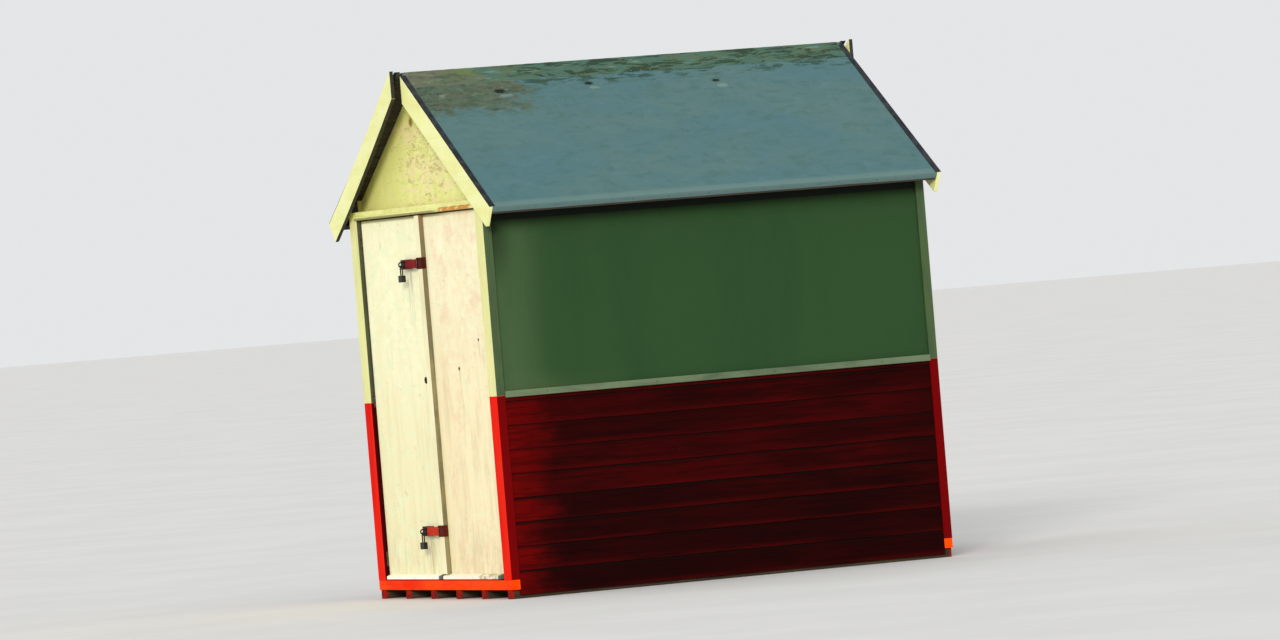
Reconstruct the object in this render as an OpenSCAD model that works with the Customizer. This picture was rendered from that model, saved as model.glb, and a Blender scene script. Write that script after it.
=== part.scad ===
// Beach hut with a pitched felt roof, twin outward doors and a boarded lower half.
// Millimetres. Ground at z = 0, front faces -Y, centre of the footprint at the origin.

/* [Hut] */
// width over the corner posts
hut_w = 1830; // [1500:5:2400]
// depth over the front and back posts
hut_d = 2440; // [1800:5:3000]
// height of the roof's top line over the posts' outer faces
wall_h = 2080; // [1900:1:2300]
// roof slope in degrees
pitch = 33.8; // [25:0.1:45]
// distance of the roof edge from the middle, level
eave_x = 1085; // [950:5:1250]

/* [Base] */
// number of ground bearers
bearer_n = 6; // [4:1:8]
// bearer width
bearer_w = 50; // [40:1:80]
// bearer height
bearer_h = 46; // [40:1:80]
// floor joist height
joist_h = 32; // [30:1:60]
// floor joist width
joist_w = 38; // [30:1:60]
// number of floor joists
joist_n = 7; // [5:1:9]
// floor board thickness
floor_t = 18; // [15:1:25]

/* [Walls] */
// corner post face width
post_w = 100; // [80:1:130]
// corner post depth
post_d = 45; // [35:1:60]
// set-back of the wall frame from the posts' outer face
clad_in = 21; // [18:1:30]
// lower cladding thickness
board_t = 18; // [12:1:22]
// bottom edge of the lower cladding
board_z = 18; // [0:1:40]
// upper wall sheet thickness
sheet_t = 9; // [6:1:15]
// bottom of the waist rail
waist_z = 1008; // [900:1:1100]
// waist rail height
waist_h = 33; // [25:1:50]
// waist rail depth from the wall frame
waist_d = 36; // [25:1:50]
// height at which the corner posts change from lower to upper piece
post_split_z = 1018; // [900:1:1100]
// stud and plate depth
stud_d = 45; // [38:1:70]
// stud width
stud_w = 38; // [30:1:50]
// spacing of the side studs
stud_pitch = 560; // [400:5:700]

/* [Gable] */
// distance of the door head's underside below the roof line over the posts
head_drop = 112; // [95:1:160]
// height of the door head beam
head_h = 42; // [30:1:80]
// height of the drip mould on the head
drip_h = 22; // [15:1:40]
// projection of the drip mould
drip_out = 12; // [5:1:25]
// length of the drip mould past the door opening
drip_over = 10; // [0:1:20]
// distance of the gable panel behind the post face
gable_in = 70; // [40:1:100]

/* [Roof] */
// roof board thickness
deck_t = 15; // [12:1:22]
// felt thickness
felt_t = 3; // [2:0.5:5]
// play between the layers of the roof
roof_seat = 0.05; // [0.02:0.01:0.5]
// length of felt turned down at the eave
felt_lap = 34; // [15:1:60]
// ridge strip width on each slope
ridge_strip_w = 150; // [80:5:250]
// rafter depth
rafter_d = 45; // [38:1:90]
// rafter width
rafter_w = 38; // [30:1:50]
// ridge board thickness
ridge_t = 20; // [18:1:30]
// ridge board depth
ridge_d = 74; // [60:1:150]
// eave batten depth
eave_b_d = 30; // [20:1:45]
// eave batten width
eave_b_w = 38; // [25:1:60]

/* [Verge boards] */
// verge board width
verge_w = 118; // [90:1:160]
// verge board thickness
verge_t = 20; // [15:1:25]
// projection of the right verge board's face in front of the posts
verge_out = 26; // [20:1:60]
// extra projection of the left verge board
verge_step = 22; // [0:1:30]
// distance of the left board's top cut past the middle
tip_left = 20; // [0:1:40]
// spring of the left verge boards' tops away from the roof
tip_spring = 32; // [0:1:40]
// distance from the middle at which they start to spring
spring_x = 900; // [400:10:1000]
// distance of the right board's top cut short of the middle
tip_right = 24; // [16:1:40]
// thickness of the felt edge on the verge boards
verge_cap_t = 2; // [1:0.5:4]
// width of the felt edge, board and roof edge together
verge_cap_w = 32; // [24:1:60]

/* [Doors] */
// set-back of the door face from the posts
door_in = 22; // [10:1:35]
// gap between post and leaf
hinge_gap = 10; // [8:1:14]
// half of the gap between the leaves
meet_gap = 3; // [2.5:0.5:5]
// door sheet thickness
leaf_t = 12; // [9:1:20]
// ledge thickness
ledge_t = 21; // [15:1:30]
// ledge height
ledge_h = 90; // [60:1:130]
// brace width, level
brace_w = 105; // [60:1:140]
// distance of the brace ends from the leaf edges
brace_in = 25; // [10:1:60]
// gap between brace and ledge
brace_gap = 0.5; // [0.2:0.1:1]
// gap under the leaves
leaf_low = 5; // [5:1:12]
// gap over the leaves
leaf_high = 8; // [5:1:15]
// stop batten depth
stop_d = 30; // [20:1:40]
// overlap of the stops over the leaf
stop_lap = 10; // [6:1:20]
// height of the top stop
stop_h = 18; // [12:1:30]
// free gap between leaf and stop
stop_gap = 5; // [5:1:8]
// width of the meeting strip
strip_w = 60; // [30:1:80]
// projection of the meeting strip and weather bars
strip_t = 27; // [15:1:35]
// height of the weather bars
bar_h = 27; // [20:1:45]
// weather bar cut back at the hinge side
bar_in = 20; // [15:1:40]
// open length between the two weather bars
bar_gap = 16; // [6:1:40]

/* [Hinges] */
// butt hinge height
hinge_h = 75; // [50:1:100]
// hinge plate thickness
hinge_t = 2.5; // [1.5:0.1:3]
// hinge plate width behind the leaf face
hinge_w = 30; // [20:1:33]
// knuckle radius
knuckle_r = 4; // [3:0.1:4.5]
// hinge pin radius
pin_r = 2.5; // [2:0.1:3]
// running clearance of the pin
pin_play = 0.1; // [0.05:0.01:0.2]
// gap between two knuckles
knuckle_gap = 1; // [0.5:0.1:2]

/* [Hasps] */
// distance of the upper hasp below the leaf top
hasp_high = 243; // [120:1:400]
// distance of the lower hasp above the leaf bottom
hasp_low = 247; // [120:1:400]
// hasp plate height
plate_h = 58; // [50:1:90]
// depth of the hasp plate's return on the side of the meeting strip
plate_side = 22; // [10:1:26]
// hasp metal thickness
hasp_t = 3; // [2:0.5:4]
// hasp strap height
strap_h = 45; // [30:1:60]
// hasp strap length from the middle of the doors
strap_l = 190; // [120:1:240]
// distance of the staple from the middle of the doors
staple_x = 165; // [90:1:200]
// near end of the packing block under the strap, from the middle of the doors
block_in = 136; // [80:1:150]
// far end of the packing block
block_out = 228; // [200:1:260]
// packing block height
block_h = 50; // [40:1:70]
// staple wire radius
staple_r = 3.5; // [2.5:0.1:4]
// half spacing of the staple legs
staple_s = 12; // [9:0.5:15]
// projection of the staple eye centre
staple_out = 51; // [40:0.5:60]
// padlock shackle radius of the bar
shackle_r = 3.5; // [2.5:0.1:4]
// half spacing of the shackle legs
shackle_s = 13; // [10:0.5:18]
// length of the shackle's straight legs
shackle_l = 37; // [10:1:45]
// padlock body width
lock_w = 50; // [35:1:60]
// padlock body height
lock_h = 35; // [30:1:55]
// padlock body thickness
lock_t = 21; // [15:1:25]
// key plate radius
key_r = 17; // [12:1:25]
// key plate height over the leaf bottom
key_h = 1018; // [850:1:1200]
// key plate distance from the middle of the doors
key_x = 75; // [50:1:120]

/* [Hidden] */
$fn = 48;
tan_p = tan(pitch);
cos_p = cos(pitch);
sin_p = sin(pitch);
half_w = hut_w / 2;
apex_h = wall_h + half_w * tan_p;
head_z = wall_h - head_drop;
half_d = hut_d / 2;
frame_x = half_w - clad_in;
frame_y = half_d - clad_in;
inner_y = half_d - post_d;
post_in = half_w - post_w;
floor_z = bearer_h + joist_h + floor_t;
plinth_h = joist_h + floor_t;
felt_drop = verge_cap_t;
deck_off = felt_drop + felt_t;
soffit_off = deck_off + deck_t;
under_off = soffit_off + roof_seat;
rafter_off = under_off + rafter_d;
panel_y = half_d - gable_in;
foot_y = inner_y - stud_d;
verge_r_y = half_d + verge_out;
verge_l_y = verge_r_y + verge_step;
leaf_y = -half_d + door_in;
leaf_back_y = leaf_y + leaf_t + ledge_t;
leaf_edge = post_in - hinge_gap;
leaf_z0 = floor_z + leaf_low;
leaf_z1 = head_z - leaf_high;
pin_x = post_in - hinge_gap / 2;
pin_y = leaf_y - 5;
strip_y = leaf_y - strip_t;
stop_y = leaf_back_y + stop_gap;
stop_in = leaf_edge - stop_lap;
stud_in = frame_x - stud_d;
ledge_z = [leaf_z0 + 60, (leaf_z0 + leaf_z1 - ledge_h) / 2, leaf_z1 - 60 - ledge_h];
hasp_z = [leaf_z0 + hasp_low, leaf_z1 - hasp_high];
key_z = leaf_z0 + key_h;
ridge_z = apex_h - under_off / cos_p - ridge_d;

// height of a line that lies off below the roof's top line, at distance x from the middle
function roof_z(x, off) = apex_h - abs(x) * tan_p - off / cos_p;

// box from two corners
module span(x0, x1, y0, y1, z0, z1) {
    translate([min(x0, x1), min(y0, y1), min(z0, z1)])
        cube([abs(x1 - x0), abs(y1 - y0), abs(z1 - z0)]);
}

// a profile drawn in x and z, run along y
module run_y(y0, y1) {
    translate([0, y1, 0])
        rotate([90, 0, 0])
            linear_extrude(y1 - y0)
                children();
}

// the same piece on the left and on the right
module both_x() {
    children();
    mirror([1, 0, 0])
        children();
}

// the same piece at the front and at the back
module both_y() {
    children();
    mirror([0, 1, 0])
        children();
}

// layer of the right roof slope between two offsets, from x0 to the square-cut eave
module slope_layer(off0, off1, x0, end_x) {
    polygon([[x0, roof_z(x0, off0)],
             [end_x - off0 * sin_p, apex_h - end_x * tan_p - off0 * cos_p],
             [end_x - off1 * sin_p, apex_h - end_x * tan_p - off1 * cos_p],
             [x0, roof_z(x0, off1)]]);
}

module bearers() {
    step = 2 * (frame_x - bearer_w / 2) / (bearer_n - 1);
    color([0.36, 0.12, 0.08])
        for (i = [0 : bearer_n - 1])
            span(-frame_x + i * step, -frame_x + i * step + bearer_w, -half_d, half_d, 0, bearer_h);
}

module floor_joists() {
    step = (2 * inner_y - joist_w) / (joist_n - 1);
    color([0.55, 0.42, 0.28])
        for (i = [0 : joist_n - 1])
            span(-frame_x, frame_x, -inner_y + i * step, -inner_y + i * step + joist_w,
                 bearer_h, bearer_h + joist_h);
}

module floor_deck() {
    color([0.6, 0.48, 0.33])
        span(-frame_x, frame_x, -inner_y, inner_y, bearer_h + joist_h, floor_z);
}

module plinths() {
    color([0.85, 0.13, 0.05])
        both_y()
            span(-half_w, half_w, -half_d, -inner_y, bearer_h, floor_z);
}

module posts_lower() {
    color([0.85, 0.13, 0.05])
        both_y()
            both_x()
                span(post_in, half_w, -half_d, -inner_y, floor_z, post_split_z);
}

module posts_upper() {
    color([0.93, 0.9, 0.6])
        both_y()
            both_x()
                span(post_in, half_w, -half_d, -inner_y, post_split_z, head_z);
}

module side_boards() {
    color([0.3, 0.03, 0.03])
        both_x()
            span(frame_x, frame_x + board_t, -inner_y, inner_y, board_z, waist_z);
}

module back_boards() {
    color([0.3, 0.03, 0.03])
        span(-post_in, post_in, frame_y, frame_y + board_t, floor_z, waist_z);
}

module side_sheets() {
    color([0.2, 0.32, 0.16])
        both_x()
            run_y(-inner_y, inner_y)
                polygon([[frame_x, waist_z + waist_h],
                         [frame_x + sheet_t, waist_z + waist_h],
                         [frame_x + sheet_t, roof_z(frame_x + sheet_t, under_off)],
                         [frame_x, roof_z(frame_x, under_off)]]);
}

module back_sheet() {
    color([0.2, 0.32, 0.16])
        span(-post_in, post_in, frame_y, frame_y + sheet_t, waist_z + waist_h, head_z);
}

module waist_rails() {
    color([0.5, 0.56, 0.45]) {
        both_x()
            span(frame_x, frame_x + waist_d, -inner_y, inner_y, waist_z, waist_z + waist_h);
        span(-post_in, post_in, frame_y, frame_y + waist_d, waist_z, waist_z + waist_h);
    }
}

module wall_studs() {
    color([0.6, 0.46, 0.3]) {
        both_y()
            both_x()
                span(stud_in, frame_x, -inner_y, -foot_y, floor_z, head_z);
        both_x()
            for (y = [-stud_pitch, 0, stud_pitch])
                span(stud_in, frame_x, y - stud_w / 2, y + stud_w / 2, floor_z, roof_z(frame_x, rafter_off) - stud_d);
        for (x = [-stud_pitch * 0.75, 0, stud_pitch * 0.75])
            span(x - stud_w / 2, x + stud_w / 2, frame_y - stud_d, frame_y, floor_z, head_z);
    }
}

module wall_plates() {
    low_z = roof_z(frame_x, rafter_off) - stud_d;
    color([0.6, 0.46, 0.3])
        both_x()
            run_y(-foot_y, foot_y)
                polygon([[stud_in, low_z], [frame_x, low_z],
                         [frame_x, roof_z(frame_x, rafter_off + roof_seat)],
                         [stud_in, roof_z(stud_in, rafter_off + roof_seat)]]);
}

module head_beams() {
    color([0.93, 0.9, 0.6])
        both_y()
            span(-half_w, half_w, -half_d, -inner_y, head_z, head_z + head_h);
}

module gable_feet() {
    color([0.6, 0.46, 0.3])
        both_y()
            span(-frame_x, frame_x, -inner_y, -foot_y, head_z, head_z + head_h);
}

module head_drip() {
    color([0.93, 0.9, 0.6])
        both_y()
            rotate([90, 0, 90])
                translate([0, 0, -post_in - drip_over])
                    linear_extrude(2 * (post_in + drip_over))
                        polygon([[-half_d, head_z], [-half_d - drip_out, head_z],
                                 [-half_d - drip_out, head_z + drip_h * 0.6],
                                 [-half_d, head_z + drip_h]]);
}

module gable_panel() {
    run_y(-panel_y, -panel_y + sheet_t)
        polygon([[-frame_x, head_z + head_h], [frame_x, head_z + head_h],
                 [frame_x, roof_z(frame_x, under_off)],
                 [0, roof_z(0, under_off)],
                 [-frame_x, roof_z(frame_x, under_off)]]);
}

module gable_front() {
    color([0.93, 0.9, 0.6])
        gable_panel();
}

module gable_back() {
    color([0.2, 0.32, 0.16])
        mirror([0, 1, 0])
            gable_panel();
}

module door_stops() {
    color([0.6, 0.46, 0.3]) {
        both_x()
            span(stop_in, stud_in, stop_y, stop_y + stop_d, floor_z, head_z);
        span(-stop_in + 0.5, stop_in - 0.5, stop_y, stop_y + stop_d, head_z - stop_h, head_z);
    }
}

module ridge_board() {
    half_t = ridge_t / 2;
    end_y = panel_y - sheet_t;
    color([0.6, 0.46, 0.3])
        run_y(-end_y, end_y)
            polygon([[-half_t, ridge_z], [half_t, ridge_z],
                     [half_t, roof_z(half_t, under_off)],
                     [0, roof_z(0, under_off)],
                     [-half_t, roof_z(half_t, under_off)]]);
}

module rafters() {
    x0 = ridge_t / 2;
    end_y = panel_y - sheet_t;
    color([0.6, 0.46, 0.3])
        both_x()
            for (y = [-end_y, -end_y / 3 - rafter_w / 3, end_y / 3 - rafter_w * 2 / 3, end_y - rafter_w])
                run_y(y, y + rafter_w)
                    polygon([[x0, roof_z(x0, under_off)],
                             [frame_x, roof_z(frame_x, under_off)],
                             [frame_x, roof_z(frame_x, rafter_off)],
                             [x0, roof_z(x0, rafter_off)]]);
}

module deck_right() {
    end_y = verge_r_y - verge_t;
    color([0.55, 0.42, 0.28])
        run_y(-end_y, end_y)
            slope_layer(deck_off, soffit_off, 0, eave_x - felt_t);
}

module deck_left() {
    end_y = verge_l_y - verge_t;
    color([0.55, 0.42, 0.28])
        mirror([1, 0, 0])
            run_y(-end_y, end_y)
                slope_layer(deck_off, soffit_off, 0, eave_x - felt_t);
}

module eave_batten() {
    back_x = eave_x - felt_t - eave_b_w * cos_p;
    polygon([[back_x - under_off * sin_p, apex_h - back_x * tan_p - under_off * cos_p],
             [eave_x - felt_t - under_off * sin_p,
              apex_h - (eave_x - felt_t) * tan_p - under_off * cos_p],
             [eave_x - felt_t - (under_off + eave_b_d) * sin_p,
              apex_h - (eave_x - felt_t) * tan_p - (under_off + eave_b_d) * cos_p],
             [back_x - (under_off + eave_b_d) * sin_p,
              apex_h - back_x * tan_p - (under_off + eave_b_d) * cos_p]]);
}

module eave_battens() {
    color([0.25, 0.27, 0.2]) {
        run_y(-verge_r_y + verge_t, verge_r_y - verge_t)
            eave_batten();
        mirror([1, 0, 0])
            run_y(-verge_l_y + verge_t, verge_l_y - verge_t)
                eave_batten();
    }
}

module felt_profile() {
    in_x = eave_x - felt_t + roof_seat;
    under = deck_off - roof_seat;
    low = deck_off + felt_lap;
    polygon([[0, roof_z(0, felt_drop)],
             [eave_x - felt_drop * sin_p, apex_h - eave_x * tan_p - felt_drop * cos_p],
             [eave_x - low * sin_p, apex_h - eave_x * tan_p - low * cos_p],
             [in_x - low * sin_p, apex_h - in_x * tan_p - low * cos_p],
             [in_x - under * sin_p, apex_h - in_x * tan_p - under * cos_p],
             [0, roof_z(0, under)]]);
}

module felt_right() {
    end_y = verge_r_y - verge_t;
    color([0.32, 0.48, 0.47])
        run_y(-end_y, end_y)
            felt_profile();
}

module felt_left() {
    end_y = verge_l_y - verge_t;
    color([0.32, 0.48, 0.47])
        mirror([1, 0, 0])
            run_y(-end_y, end_y)
                felt_profile();
}

module ridge_strip() {
    end_y = verge_r_y - verge_cap_w;
    far_x = ridge_strip_w * cos_p;
    top = felt_drop - felt_t;
    color([0.24, 0.3, 0.24])
        run_y(-end_y, end_y)
            polygon([[0, roof_z(0, top)], [far_x, roof_z(far_x, top)],
                     [far_x, roof_z(far_x, felt_drop)], [0, roof_z(0, felt_drop)],
                     [-far_x, roof_z(far_x, felt_drop)], [-far_x, roof_z(far_x, top)]]);
}

// layer of a verge between two offsets, from its plumb cut at tip to the square-cut eave
module verge_layer(off0, off1, tip) {
    polygon([[tip, apex_h - tip * tan_p - off0 / cos_p],
             [eave_x - off0 * sin_p, apex_h - eave_x * tan_p - off0 * cos_p],
             [eave_x - off1 * sin_p, apex_h - eave_x * tan_p - off1 * cos_p],
             [tip, apex_h - tip * tan_p - off1 / cos_p]]);
}

module verge_board(face_y, tip) {
    run_y(-face_y, -face_y + verge_t)
        verge_layer(verge_cap_t, verge_cap_t + verge_w, tip);
}

module verge_right() {
    color([0.93, 0.9, 0.6])
        both_y()
            verge_board(verge_r_y, tip_right);
}

// how far a left verge board has sprung from the roof at x
function spring(x) = tip_spring * pow(max(0, (spring_x - x) / (spring_x + tip_left)), 1.5);

// plan of a sprung board, from its tip to past the eave
module sprung_plan() {
    stop = eave_x + 50;
    xs = concat([for (i = [0 : 8]) -tip_left + (spring_x + tip_left) * i / 8], [stop]);
    polygon(concat([for (i = [0 : 9]) [xs[i], -verge_l_y - spring(xs[i])]],
                   [for (i = [9 : -1 : 0]) [xs[i], -verge_l_y + verge_t - spring(xs[i])]]));
}

module verge_left() {
    color([0.93, 0.9, 0.6])
        both_y()
            mirror([1, 0, 0])
                intersection() {
                    run_y(-verge_l_y - tip_spring - 5, -verge_l_y + verge_t + 5)
                        verge_layer(verge_cap_t, verge_cap_t + verge_w, -tip_left);
                    translate([0, 0, wall_h - 400])
                        linear_extrude(1400)
                            sprung_plan();
                }
}

module verge_cap(face_y, tip) {
    run_y(-face_y, -face_y + verge_cap_w)
        verge_layer(0, verge_cap_t, tip);
}

module verge_caps() {
    color([0.06, 0.07, 0.07])
        both_y() {
            verge_cap(verge_r_y, tip_right);
            mirror([1, 0, 0])
                verge_cap(verge_l_y, -6);
        }
}

// knuckles of the right-hand hinge: first and step choose the shares of the two halves
module knuckles(z0, first, last, bore) {
    len = (hinge_h - 4 * knuckle_gap) / 5;
    for (i = [first : 2 : last])
        translate([pin_x, pin_y, z0 + i * (len + knuckle_gap)])
            difference() {
                cylinder(r = knuckle_r, h = len);
                translate([0, 0, -1])
                    cylinder(r = bore, h = len + 2);
            }
}

// wings that join the knuckles to their plate, at x0 to x1
module wings(z0, first, last, x0, x1) {
    len = (hinge_h - 4 * knuckle_gap) / 5;
    for (i = [first : 2 : last])
        difference() {
            span(x0, x1, pin_y, leaf_y, z0 + i * (len + knuckle_gap), z0 + i * (len + knuckle_gap) + len);
            translate([pin_x, pin_y, z0])
                cylinder(r = knuckle_r - 0.5, h = hinge_h);
        }
}

module post_half(z0) {
    x0 = post_in - hinge_t;
    span(x0, post_in, leaf_y, leaf_y + hinge_w * 0.7, z0, z0 + hinge_h);
    wings(z0, 0, 4, x0, post_in);
    knuckles(z0, 0, 4, pin_r - 0.5);
    translate([pin_x, pin_y, z0 - 2])
        cylinder(r = pin_r, h = hinge_h + 4);
}

module leaf_half(z0) {
    x1 = leaf_edge + hinge_t;
    span(leaf_edge, x1, leaf_y, leaf_y + hinge_w, z0, z0 + hinge_h);
    wings(z0, 1, 3, leaf_edge, x1);
    knuckles(z0, 1, 3, pin_r + pin_play);
}

module hinge_posts() {
    color([0.25, 0.2, 0.17])
        both_x()
            for (z = ledge_z)
                post_half(z + (ledge_h - hinge_h) / 2);
}

module right_hinges() {
    color([0.25, 0.2, 0.17])
        for (z = ledge_z)
            leaf_half(z + (ledge_h - hinge_h) / 2);
}

module left_hinges() {
    mirror([1, 0, 0])
        right_hinges();
}

module leaf_sheet() {
    span(meet_gap, leaf_edge, leaf_y, leaf_y + leaf_t, leaf_z0, leaf_z1);
}

// three ledges, with a brace that rises from the hinge side in each bay
module leaf_ledges() {
    for (z = ledge_z)
        span(meet_gap, leaf_edge, leaf_y + leaf_t, leaf_back_y, z, z + ledge_h);
    for (i = [0, 1])
        run_y(leaf_y + leaf_t, leaf_back_y)
            polygon([[leaf_edge - brace_in - brace_w, ledge_z[i] + ledge_h + brace_gap],
                     [leaf_edge - brace_in, ledge_z[i] + ledge_h + brace_gap],
                     [meet_gap + brace_in + brace_w, ledge_z[i + 1] - brace_gap],
                     [meet_gap + brace_in, ledge_z[i + 1] - brace_gap]]);
}

module right_sheet() {
    color([0.95, 0.93, 0.78])
        leaf_sheet();
}

module left_sheet() {
    color([0.95, 0.93, 0.78])
        mirror([1, 0, 0])
            leaf_sheet();
}

module right_ledges() {
    color([0.7, 0.6, 0.42])
        leaf_ledges();
}

module left_ledges() {
    color([0.7, 0.6, 0.42])
        mirror([1, 0, 0])
            leaf_ledges();
}

// weather bar with a sloped top
module weather_bar(x0) {
    rotate([90, 0, 90])
        translate([0, 0, x0])
            linear_extrude(leaf_edge - bar_in - x0)
                polygon([[leaf_y, leaf_z0], [strip_y, leaf_z0],
                         [strip_y, leaf_z0 + bar_h * 0.6], [leaf_y, leaf_z0 + bar_h]]);
}

module right_bar() {
    color([0.95, 0.93, 0.78])
        weather_bar(meet_gap);
}

module left_bar() {
    color([0.95, 0.93, 0.78])
        mirror([1, 0, 0])
            weather_bar(bar_gap);
}

module meeting_strip() {
    color([0.5, 0.42, 0.28])
        span(meet_gap, meet_gap + strip_w, strip_y, leaf_y, leaf_z0 + bar_h, leaf_z1);
}

// plate with its two knuckles and pin, on the meeting strip
module hasp_plate(z) {
    kx = meet_gap + knuckle_r + 1;
    ky = strip_y - knuckle_r;
    share = plate_h * 0.22;
    side_x = meet_gap + strip_w;
    span(kx, side_x + hasp_t, strip_y - hasp_t, strip_y, z - plate_h / 2, z + plate_h / 2);
    span(side_x, side_x + hasp_t, strip_y - hasp_t, strip_y + plate_side, z - plate_h / 2, z + plate_h / 2);
    for (s = [-1, 1])
        translate([kx, ky, z + s * (plate_h - share) / 2 - share / 2])
            cylinder(r = knuckle_r, h = share);
    translate([kx, ky, z - plate_h / 2])
        cylinder(r = pin_r - 0.7, h = plate_h);
    for (dx = [18, 42])
        for (dz = plate_h * [-0.32, 0.32])
            translate([kx + dx, strip_y - hasp_t + 0.5, z + dz])
                rotate([90, 0, 0])
                    cylinder(r1 = 4.5, r2 = 2.5, h = 2.5);
}

module hasp_plates() {
    color([0.35, 0.06, 0.05])
        for (z = hasp_z)
            hasp_plate(z);
}

// flat strap with a rolled eye and a slot for the staple
module hasp_strap(z) {
    eye_x = -meet_gap - knuckle_r - 2;
    eye_y = strip_y - knuckle_r;
    difference() {
        union() {
            span(-strap_l, eye_x, strip_y - hasp_t, strip_y, z - strap_h / 2, z + strap_h / 2);
            translate([eye_x, eye_y, z - strap_h / 4])
                cylinder(r = knuckle_r, h = strap_h / 2);
        }
        translate([eye_x, eye_y, z - strap_h])
            cylinder(r = pin_r - 0.7, h = strap_h * 2);
        span(-staple_x - staple_r - 2, -staple_x + staple_r + 2, strip_y - hasp_t - 1, strip_y + 1,
             z - staple_s - staple_r - 2, z + staple_s + staple_r + 2);
    }
}

module hasp_straps() {
    color([0.6, 0.05, 0.04])
        for (z = hasp_z)
            hasp_strap(z);
}

// packing block on the leaf with the staple eye: two legs and a half ring
module hasp_staple(z) {
    span(-block_out, -block_in, strip_y, leaf_y, z - block_h / 2, z + block_h / 2);
    translate([-staple_x, leaf_y - staple_out, z])
        rotate([0, 90, 0])
            rotate([0, 0, 180])
                rotate_extrude(angle = 180)
                    translate([staple_s, 0])
                        circle(r = staple_r);
    for (s = [-1, 1])
        translate([-staple_x, leaf_y, z + s * staple_s])
            rotate([90, 0, 0])
                cylinder(r = staple_r, h = staple_out);
}

module hasp_staples() {
    color([0.12, 0.11, 0.1])
        for (z = hasp_z)
            hasp_staple(z);
}

// padlock hung on the lower leg of the staple
module padlock(z) {
    top_z = z - staple_s + staple_r + shackle_r + 0.3;
    arc_z = top_z - shackle_s;
    lock_y = leaf_y - staple_out;
    body_z = arc_z - shackle_l;
    translate([-staple_x, lock_y, arc_z])
        rotate([90, 0, 0])
            rotate_extrude(angle = 180)
                translate([shackle_s, 0])
                    circle(r = shackle_r);
    for (s = [-1, 1])
        translate([-staple_x + s * shackle_s, lock_y, body_z - 5])
            cylinder(r = shackle_r, h = arc_z - body_z + 5);
    difference() {
        span(-staple_x - lock_w / 2, -staple_x + lock_w / 2, lock_y - lock_t / 2, lock_y + lock_t / 2,
             body_z - lock_h, body_z);
        translate([-staple_x, lock_y, body_z - lock_h - 1])
            cylinder(r = 4, h = 6);
    }
}

module padlocks() {
    color([0.2, 0.19, 0.16])
        for (z = hasp_z)
            padlock(z);
}

module key_plate() {
    color([0.14, 0.12, 0.1])
        translate([-key_x, leaf_y, key_z])
            rotate([90, 0, 0])
                difference() {
                    cylinder(r = key_r, h = 3);
                    translate([0, 3, 1])
                        cylinder(r = 4, h = 3);
                    translate([-1.5, -9, 1])
                        cube([3, 12, 3]);
                }
}

bearers();
floor_joists();
floor_deck();
plinths();
posts_lower();
posts_upper();
side_boards();
back_boards();
side_sheets();
back_sheet();
waist_rails();
wall_studs();
wall_plates();
head_beams();
gable_feet();
head_drip();
gable_front();
gable_back();
door_stops();
ridge_board();
rafters();
deck_left();
deck_right();
eave_battens();
felt_left();
felt_right();
ridge_strip();
verge_left();
verge_right();
verge_caps();
hinge_posts();
left_sheet();
left_ledges();
left_bar();
left_hinges();
hasp_straps();
hasp_staples();
padlocks();
key_plate();
right_sheet();
right_ledges();
right_bar();
right_hinges();
meeting_strip();
hasp_plates();
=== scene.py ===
import math
import random
from itertools import product

import bpy
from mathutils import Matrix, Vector, noise


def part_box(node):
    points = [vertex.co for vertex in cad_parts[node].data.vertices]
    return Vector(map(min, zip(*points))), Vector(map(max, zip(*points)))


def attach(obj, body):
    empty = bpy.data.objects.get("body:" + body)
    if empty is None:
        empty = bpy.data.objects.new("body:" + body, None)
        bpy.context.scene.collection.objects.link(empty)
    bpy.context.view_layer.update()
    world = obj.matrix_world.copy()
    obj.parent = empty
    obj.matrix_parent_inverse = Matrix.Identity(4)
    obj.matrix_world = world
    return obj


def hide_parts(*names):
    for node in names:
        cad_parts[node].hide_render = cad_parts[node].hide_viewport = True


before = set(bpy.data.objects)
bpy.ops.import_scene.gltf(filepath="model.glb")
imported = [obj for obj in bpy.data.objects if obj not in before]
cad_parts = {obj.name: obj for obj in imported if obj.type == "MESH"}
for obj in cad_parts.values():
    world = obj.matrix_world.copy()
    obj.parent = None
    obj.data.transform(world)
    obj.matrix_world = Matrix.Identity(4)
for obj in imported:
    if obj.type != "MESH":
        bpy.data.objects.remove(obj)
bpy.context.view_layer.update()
random.seed(41)

# Sizes repeated from the part's source, in metres

PITCH = math.radians(33.8)
SIN_P = math.sin(PITCH)
COS_P = math.cos(PITCH)
TAN_P = math.tan(PITCH)
APEX_Z = 2.08 + 0.915 * TAN_P
EAVE_X = 1.085
FRAME_X = 0.894
BACK_Y = 1.199
INNER_Y = 1.175
GABLE_Y = 1.141
LEAF_Y = -1.198
STRIP_Y = -1.225
WAIST_Z = 1.008
BOARD_COVER = 0.1214
BOARD_DEEP = 0.018
SIDE_BOARD_Z = 0.018
BACK_BOARD_Z = 0.096
BACK_HALF = 0.815
POST_X = 0.865
POST_Y = 1.2199
STUD_Y = (-1.152, -0.56, 0.0, 0.56, 1.152)
BACK_STUD_X = (-0.79, -0.42, 0.0, 0.42, 0.79)
SHEET_FACE_X = 0.9029
RAIL_FACE_X = 0.9299
BACK_SHEET_Y = 1.2079
VERGE_Y = {1: 1.246, -1: 1.268}
CAP_WIDTH = 0.032
FELT_LAP = 0.318
STRIP_HALF = 0.15 * COS_P
HASP_Z = (0.348, 1.717)
LEAF_BOLTS = ((0.389, 1.168), (0.678, 1.307))


def slope(x, off, side=1):
    """Point on the roof slope at distance x from the middle, off below the roof's top line."""
    return Vector((side * (x - off * SIN_P), 0.0, APEX_Z - x * TAN_P - off * COS_P))


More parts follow.
